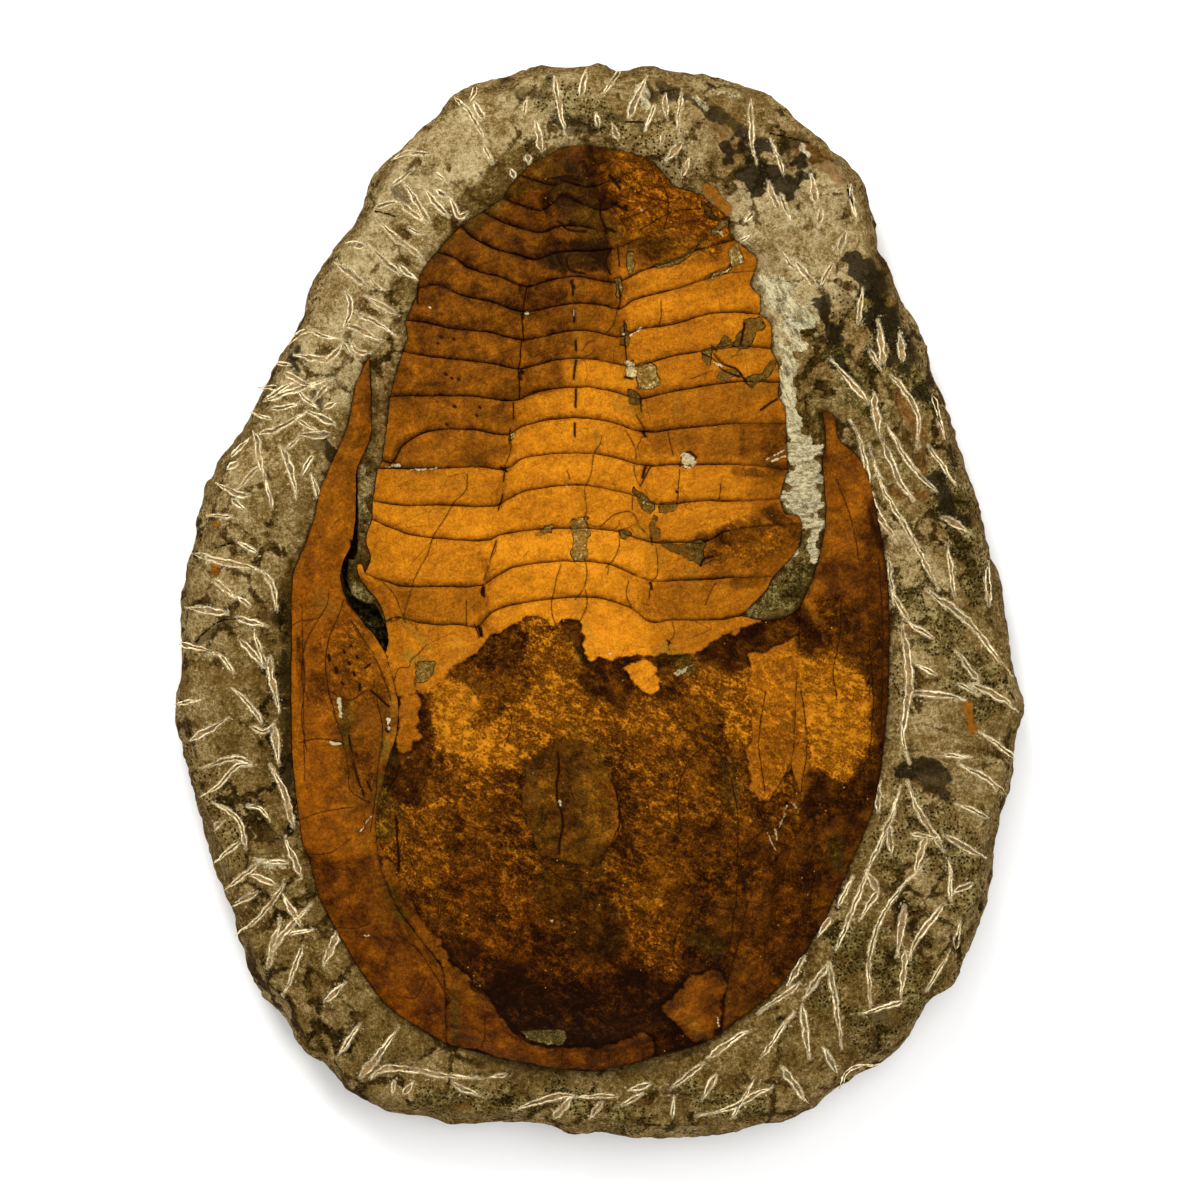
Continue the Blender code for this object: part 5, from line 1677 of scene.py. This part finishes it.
def stone_finish():
    """Olive-brown limestone: weathered outside, sawn below, pale and crushed at its marks."""
    finish = Finish("chiselled_limestone", 0.9, 0.05)
    speckle, rust, moat, chisel = (
        finish.layer(key) for key in ("speckle", "rust", "moat", "chisel")
    )
    broad = finish.noise(22 * MM, 5, 0.6)
    middle = finish.noise(6 * MM, 7, 0.68, warp=0.4)
    fine = finish.noise(1.3 * MM, 6, 0.72)
    grit = finish.noise(0.55 * MM, 3, 0.65)

    # The bare stone, with painted shade in its crevices and an ochre tinge.
    value = finish.layer("tone") + 0.15 + broad.swing(0.50) + middle.swing(1.10)
    value = value + fine.swing(1.45) + grit.swing(0.95)
    gaps, _ = finish.cells(13 * MM, "DISTANCE_TO_EDGE")
    shaded_crevice = (gaps + middle.swing(0.7)).between(0.07, 0.0) * broad.between(0.44, 0.56)
    value = finish.math("MULTIPLY", value + shaded_crevice * -0.42, 0.75, clamp=True)
    finish.colour = finish.ramp(value, STONE_STOPS)
    ochre = finish.noise(10 * MM, 4, 0.65).between(0.52, 0.68)
    finish.coat(ochre * 0.35, OCHRE_TINGE)

    # Greenish and speckled rock, painted shade in the moat, rust, and black stains with a painted
    # shadow among them.
    green_tone = finish.ramp(middle * 0.4 + fine * 0.35 + grit * 0.25, GREEN_STOPS)
    speckled = (speckle + middle.swing(1.1) + fine.swing(0.6)).between(0.25, 0.60)
    finish.coat(speckled * 0.6, green_tone)
    finish.coat((finish.layer("green") + fine.swing(0.8)).between(0.25, 0.6) * 0.85, green_tone)
    # Painted shade in the moat beside the fossil.
    finish.coat((moat + middle.swing(5.0)).between(3.4, -0.6) * 0.62, MOAT_SHADE_BROWN)
    from_spot, _ = finish.cells(1.25 * MM)
    spotty = (speckle + finish.noise(14 * MM, 3) * 0.5).between(0.30, 0.5)
    finish.coat(from_spot.between(0.40, 0.26) * (spotty * 0.95), SPOT_BLACK)
    rust_tone = finish.ramp(middle * 0.5 + fine * 0.5, RUST_STOPS)
    iron = finish.mix(fine, IRON_DARK, IRON_BRIGHT)
    rust_tone = finish.mix(rust.between(0.64, 0.84), rust_tone, iron)
    finish.coat((rust + fine.swing(0.6)).between(0.25, 0.7) * 0.92, rust_tone)
    # Black stains, and painted shadow along the left cheek's outer edge.
    stain_and_shade = finish.layer("dark") + fine.swing(0.9) + middle.swing(1.1)
    finish.coat(stain_and_shade.between(0.25, 0.75) * 0.92, finish.mix(fine, STAIN_AND_SHADE_BLACK, STAIN_AND_SHADE_BROWN))

    # Pale gouged stone: split along the grain beside the body, scraped across below that.
    north = finish.along(1)
    turning = north.between(metres([(0, 445)])[0, 1], metres([(0, 400)])[0, 1])
    scraped = finish.noise(1.1 * MM, 6, 0.8, finish.stretched(4, 3.5))
    split_grain = finish.noise(1.7 * MM, 6, 0.8, finish.stretched(-64, 3.0))
    flecks = split_grain * turning + scraped * (1.0 - turning)
    gouge = (finish.layer("gouge") + fine.swing(1.2)).between(0.35, 0.7)
    finish.coat(gouge, finish.ramp(flecks * 0.75 + grit * 0.25, GOUGE_STOPS))

    # Chisel marks: crushed lips, the groove between them, rubbed edges and crumbs.
    chalk = finish.ramp(fine * 0.5 + grit * 0.5, CHALK_STOPS)
    bruise = chisel + fine.swing(2.4) + middle.swing(2.6)
    finish.coat(bruise.between(0.60, 0.0) * 0.85, chalk)
    groove_tone = finish.mix(broad.between(0.44, 0.56), GROOVE_BROWN, GROOVE_TAN)
    finish.coat((chisel + fine.swing(0.9)).between(-0.16, -0.42) * 0.7, groove_tone)
    rubbed = finish.layer("edge") + middle.swing(9.0) + fine.swing(5.0)
    finish.coat(rubbed.between(3.0, 0.4) * broad.between(0.49, 0.60) * 0.55, chalk)
    crumbs = finish.noise(1.3 * MM, 5, 0.8).between(0.58, 0.64)
    finish.coat(crumbs * (chisel + middle.swing(8.0)).between(2.6, 0.3) * 0.8, chalk)

    # Cracks, painted shade on the tucked edge along the fossil, the black hollow with its painted
    # shade and the sawn back.
    finish.coat((finish.layer("crack") + fine * -0.4).between(0.25, 0.0), STONE_CRACK)
    # Painted shade on the stone's edge tucked under the fossil.
    finish.coat((moat + fine.swing(1.6)).between(0.75, 0.1) * 0.6, TUCKED_SHADE_BROWN)
    # The hollow's rubble, painted near-black as the shade deep in it, with paler bits.
    hollow_shade = (finish.layer("hole") + fine.swing(0.8)).between(-0.15, 0.20)
    finish.coat(hollow_shade * 0.97, finish.ramp(fine * 0.6 + middle * 0.4, HOLLOW_SHADE_STOPS))
    finish.coat(finish.along(2).between(0.6 * MM, 0.2 * MM) * 0.7, SAWN_TAN)
    return finish.done(middle * 0.8 + fine * 0.55 + grit * 0.22 + shaded_crevice * -0.5, 3.2 * MM)


def crushed_finish():
    """Cream stone bruised to powder along the edges of the chisel marks."""
    finish = Finish("crushed_stone", 0.92, 0.05)
    fine = finish.noise(0.7 * MM, 4, 0.7)
    finish.colour = finish.ramp(fine * 0.6 + finish.noise(9 * MM, 4, 0.6) * 0.4, CRUSHED_STOPS)
    return finish.done(fine, 0.2 * MM)


def floor_finish():
    finish = Finish("pale_paper", 0.95, 0.1)
    fibre = finish.noise(3 * MM, 3, 0.5)
    finish.colour = finish.mix(fibre, PAPER_DULL, PAPER_BRIGHT)
    return finish.done(fibre, 0.02 * MM)


def ridge_tree():
    """Sweeps a thin crumbled ridge along each line, as thick as the line's own layer says."""
    tree = bpy.data.node_groups.new("crumbled_ridges", "GeometryNodeTree")
    for name, kind, default in (
        ("Lines", "Geometry", None), ("Ridge radius", "Float", 0.3 * MM),
        ("Point spacing", "Float", CHISEL_STEP), ("Crumble", "Float", 0.2 * MM),
        ("Seed", "Int", 4), ("Finish", "Material", None),
    ):
        socket = tree.interface.new_socket(name, in_out="INPUT", socket_type=f"NodeSocket{kind}")
        if default is not None:
            socket.default_value = default
    tree.interface.new_socket("Ridges", in_out="OUTPUT", socket_type="NodeSocketGeometry")

    def step(kind, inputs=None, output=0, **settings):
        return add_node(tree, kind, inputs, **settings).outputs[output]

    def product(a, b):
        return step("ShaderNodeMath", {0: a, 1: b}, operation="MULTIPLY")

    given = add_node(tree, "NodeGroupInput").outputs
    seed, crumble = given["Seed"], given["Crumble"]
    curves = step("GeometryNodeMeshToCurve", {"Mesh": given["Lines"]})
    spaced = step(
        "GeometryNodeResampleCurve", {"Curve": curves, "Length": given["Point spacing"]},
        mode="LENGTH",
    )
    thickness = step("GeometryNodeInputNamedAttribute", {"Name": "thickness"}, data_type="FLOAT")
    uneven = step(
        "FunctionNodeRandomValue", {2: 0.55, 3: 1.25, "Seed": seed}, 1, data_type="FLOAT"
    )
    radius = product(product(thickness, uneven), given["Ridge radius"])
    thick = step("GeometryNodeSetCurveRadius", {"Curve": spaced, "Radius": radius})
    profile = step("GeometryNodeCurvePrimitiveCircle", {"Resolution": 5, "Radius": 1.0})
    swept = add_node(
        tree, "GeometryNodeCurveToMesh",
        {"Curve": thick, "Profile Curve": profile, "Fill Caps": True},
    )
    if "Scale" in swept.inputs:
        tree.links.new(radius, swept.inputs["Scale"])
    low, high = (
        step("ShaderNodeCombineXYZ", {axis: amount for axis in range(3)})
        for amount in (product(crumble, -1.0), crumble)
    )
    shake = step(
        "FunctionNodeRandomValue", {0: low, 1: high, "Seed": seed}, data_type="FLOAT_VECTOR"
    )
    crumbled = step(
        "GeometryNodeSetPosition", {"Geometry": swept.outputs["Mesh"], "Offset": shake}
    )
    whole = step("GeometryNodeRealizeInstances", {"Geometry": crumbled})
    finished = step("GeometryNodeSetMaterial", {"Geometry": whole, "Material": given["Finish"]})
    add_node(tree, "NodeGroupOutput", {"Ridges": finished})
    return tree


def lip_lines():
    """The crest along both sides of every mark: points, edges and each point's thickness."""
    points, edges, thickness = [], [], []
    start = 0
    for number, part in enumerate(chisel_lines):
        row = resampled(part, CHISEL_STEP)
        aside = beside(row)
        _, width = chisel_reach(row)
        along = np.linspace(0, 1, len(row))
        ends = np.clip(np.minimum(along, 1 - along) * 6, 0.3, 1)
        for side in (-1, 1):
            shift = width * (1 + 0.25 * noise(row + side * 0.3, 1.9 * MM, seed=91))
            lip = row + side * aside * shift[:, None]
            z = stone_height(lip, fossil_edge.distance(lip), *chisel_reach(lip)) + 0.02 * MM
            points.append(np.column_stack((lip, z)))
            strength = 0.75 + 0.35 * hashed(np.array([[4 * number + side]]), seed=97)[0]
            broken = strength + 0.75 * noise(row + side * 0.7, 2.1 * MM, seed=95)
            thickness.append(ends * np.clip(broken, 0.3, 1.4))
            numbers = np.arange(start, start + len(row))
            kept = (broken[:-1] > 0.35) & (broken[1:] > 0.35)
            edges.append(np.column_stack((numbers[:-1], numbers[1:]))[kept])
            start += len(row)
    return np.vstack(points), np.vstack(edges), np.concatenate(thickness)


def chisel_lips(material):
    """The crushed ridges along both sides of every chisel mark."""
    points, edges, thickness = lip_lines()
    mesh = bpy.data.meshes.new("chisel_lip_lines")
    mesh.from_pydata(points.tolist(), edges.tolist(), [])
    layer = mesh.attributes.new("thickness", "FLOAT", "POINT")
    layer.data.foreach_set("value", thickness.astype(np.float32))
    guide = linked(bpy.data.objects.new("chisel_lip_lines", mesh))
    modifier = guide.modifiers.new("ridges", "NODES")
    modifier.node_group = ridge_tree()
    sockets = {item.name: item.identifier for item in modifier.node_group.interface.items_tree
               if item.item_type == "SOCKET" and item.in_out == "INPUT"}
    for name, value in (
        ("Ridge radius", 0.24 * MM), ("Point spacing", CHISEL_STEP), ("Crumble", 0.12 * MM),
        ("Seed", 4), ("Finish", material),
    ):
        modifier[sockets[name]] = value
    evaluated = guide.evaluated_get(bpy.context.evaluated_depsgraph_get())
    made = bpy.data.meshes.new_from_object(evaluated)
    piece = linked(bpy.data.objects.new("chisel_mark_lips", made))
    guide.modifiers.remove(modifier)
    bpy.data.objects.remove(guide)
    made.shade_smooth()
    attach(piece, "root")
    return piece


def build_fossil():
    head = shell_finish("crusted_head_shell", 0.42)
    cheek = shell_finish("red_brown_cheek_shell", 0.38)
    thorax = shell_finish("ochre_thorax_shell", 0.42)
    tail = shell_finish("brown_tail_shell", 0.42)
    joints = [Trail([joint]) for joint in fine_outlines.joints]
    plate(
        "cranidium_shell", "cranidium", "head_brown", fine_outlines.cranidium, HEAD_GRAIN, head,
        crusted=True,
    )
    for side in ("left", "right"):
        loop = getattr(fine_outlines, f"cheek_{side}")
        plate(
            f"free_cheek_shell_{side}", f"free_cheek_{side}", "cheek_red_brown", loop,
            HEAD_GRAIN, cheek,
        )
    for number, loop in enumerate(fine_outlines.segments):
        slot, material = ("thorax_ochre", thorax) if number < 8 else ("tail_brown_ochre", tail)
        node = f"thorax_segment_{number + 1:02d}"
        plate(f"{node}_shell", node, slot, loop, BODY_GRAIN, material, *joints[number:number + 2])
    plate(
        "pygidium_shell", "pygidium", "tail_brown_ochre", fine_outlines.pygidium, BODY_GRAIN,
        tail, joints[-1],
    )


def build_floor(material):
    corners = np.array([(-1, -1, 0), (1, -1, 0), (1, 1, 0), (-1, 1, 0)]) * FLOOR_REACH
    floor = mesh_piece("floor", corners, np.array([(0, 1, 2), (0, 2, 3)]), {}, material)


def build_studio():
    for name, place, size, watts, colour in LIGHTS:
        data = bpy.data.lights.new(name, "AREA")
        data.shape = "SQUARE"
        data.size = size
        data.energy = watts
        data.color = colour
        light = linked(bpy.data.objects.new(name, data))
        light.location = place
        light.rotation_euler = (-Vector(place)).to_track_quat("-Z", "Y").to_euler()
        light.visible_camera = False
    world = bpy.data.worlds.new("studio")
    world.use_nodes = True
    world.node_tree.nodes["Background"].inputs["Color"].default_value = (1.0, 1.0, 1.0, 1)
    world.node_tree.nodes["Background"].inputs["Strength"].default_value = WORLD_STRENGTH
    bpy.context.scene.world = world
    bpy.context.scene.view_settings.view_transform = "Standard"


def build_camera():
    data = bpy.data.cameras.new("camera")
    data.sensor_width = SENSOR_WIDTH
    data.lens = SENSOR_WIDTH * (CAMERA_HEIGHT - OUTLINE_HEIGHT) / (FRAME_PIXELS * PIXEL)
    data.clip_end = 2 * CAMERA_HEIGHT
    camera = linked(bpy.data.objects.new("camera", data))
    frame_middle = metres([(FRAME_PIXELS / 2, FRAME_PIXELS / 2)])[0]
    camera.location = (*frame_middle, CAMERA_HEIGHT)
    bpy.context.scene.camera = camera


build_camera()
slab(stone_finish())
build_fossil()
chisel_lips(crushed_finish())
build_floor(floor_finish())
build_studio()
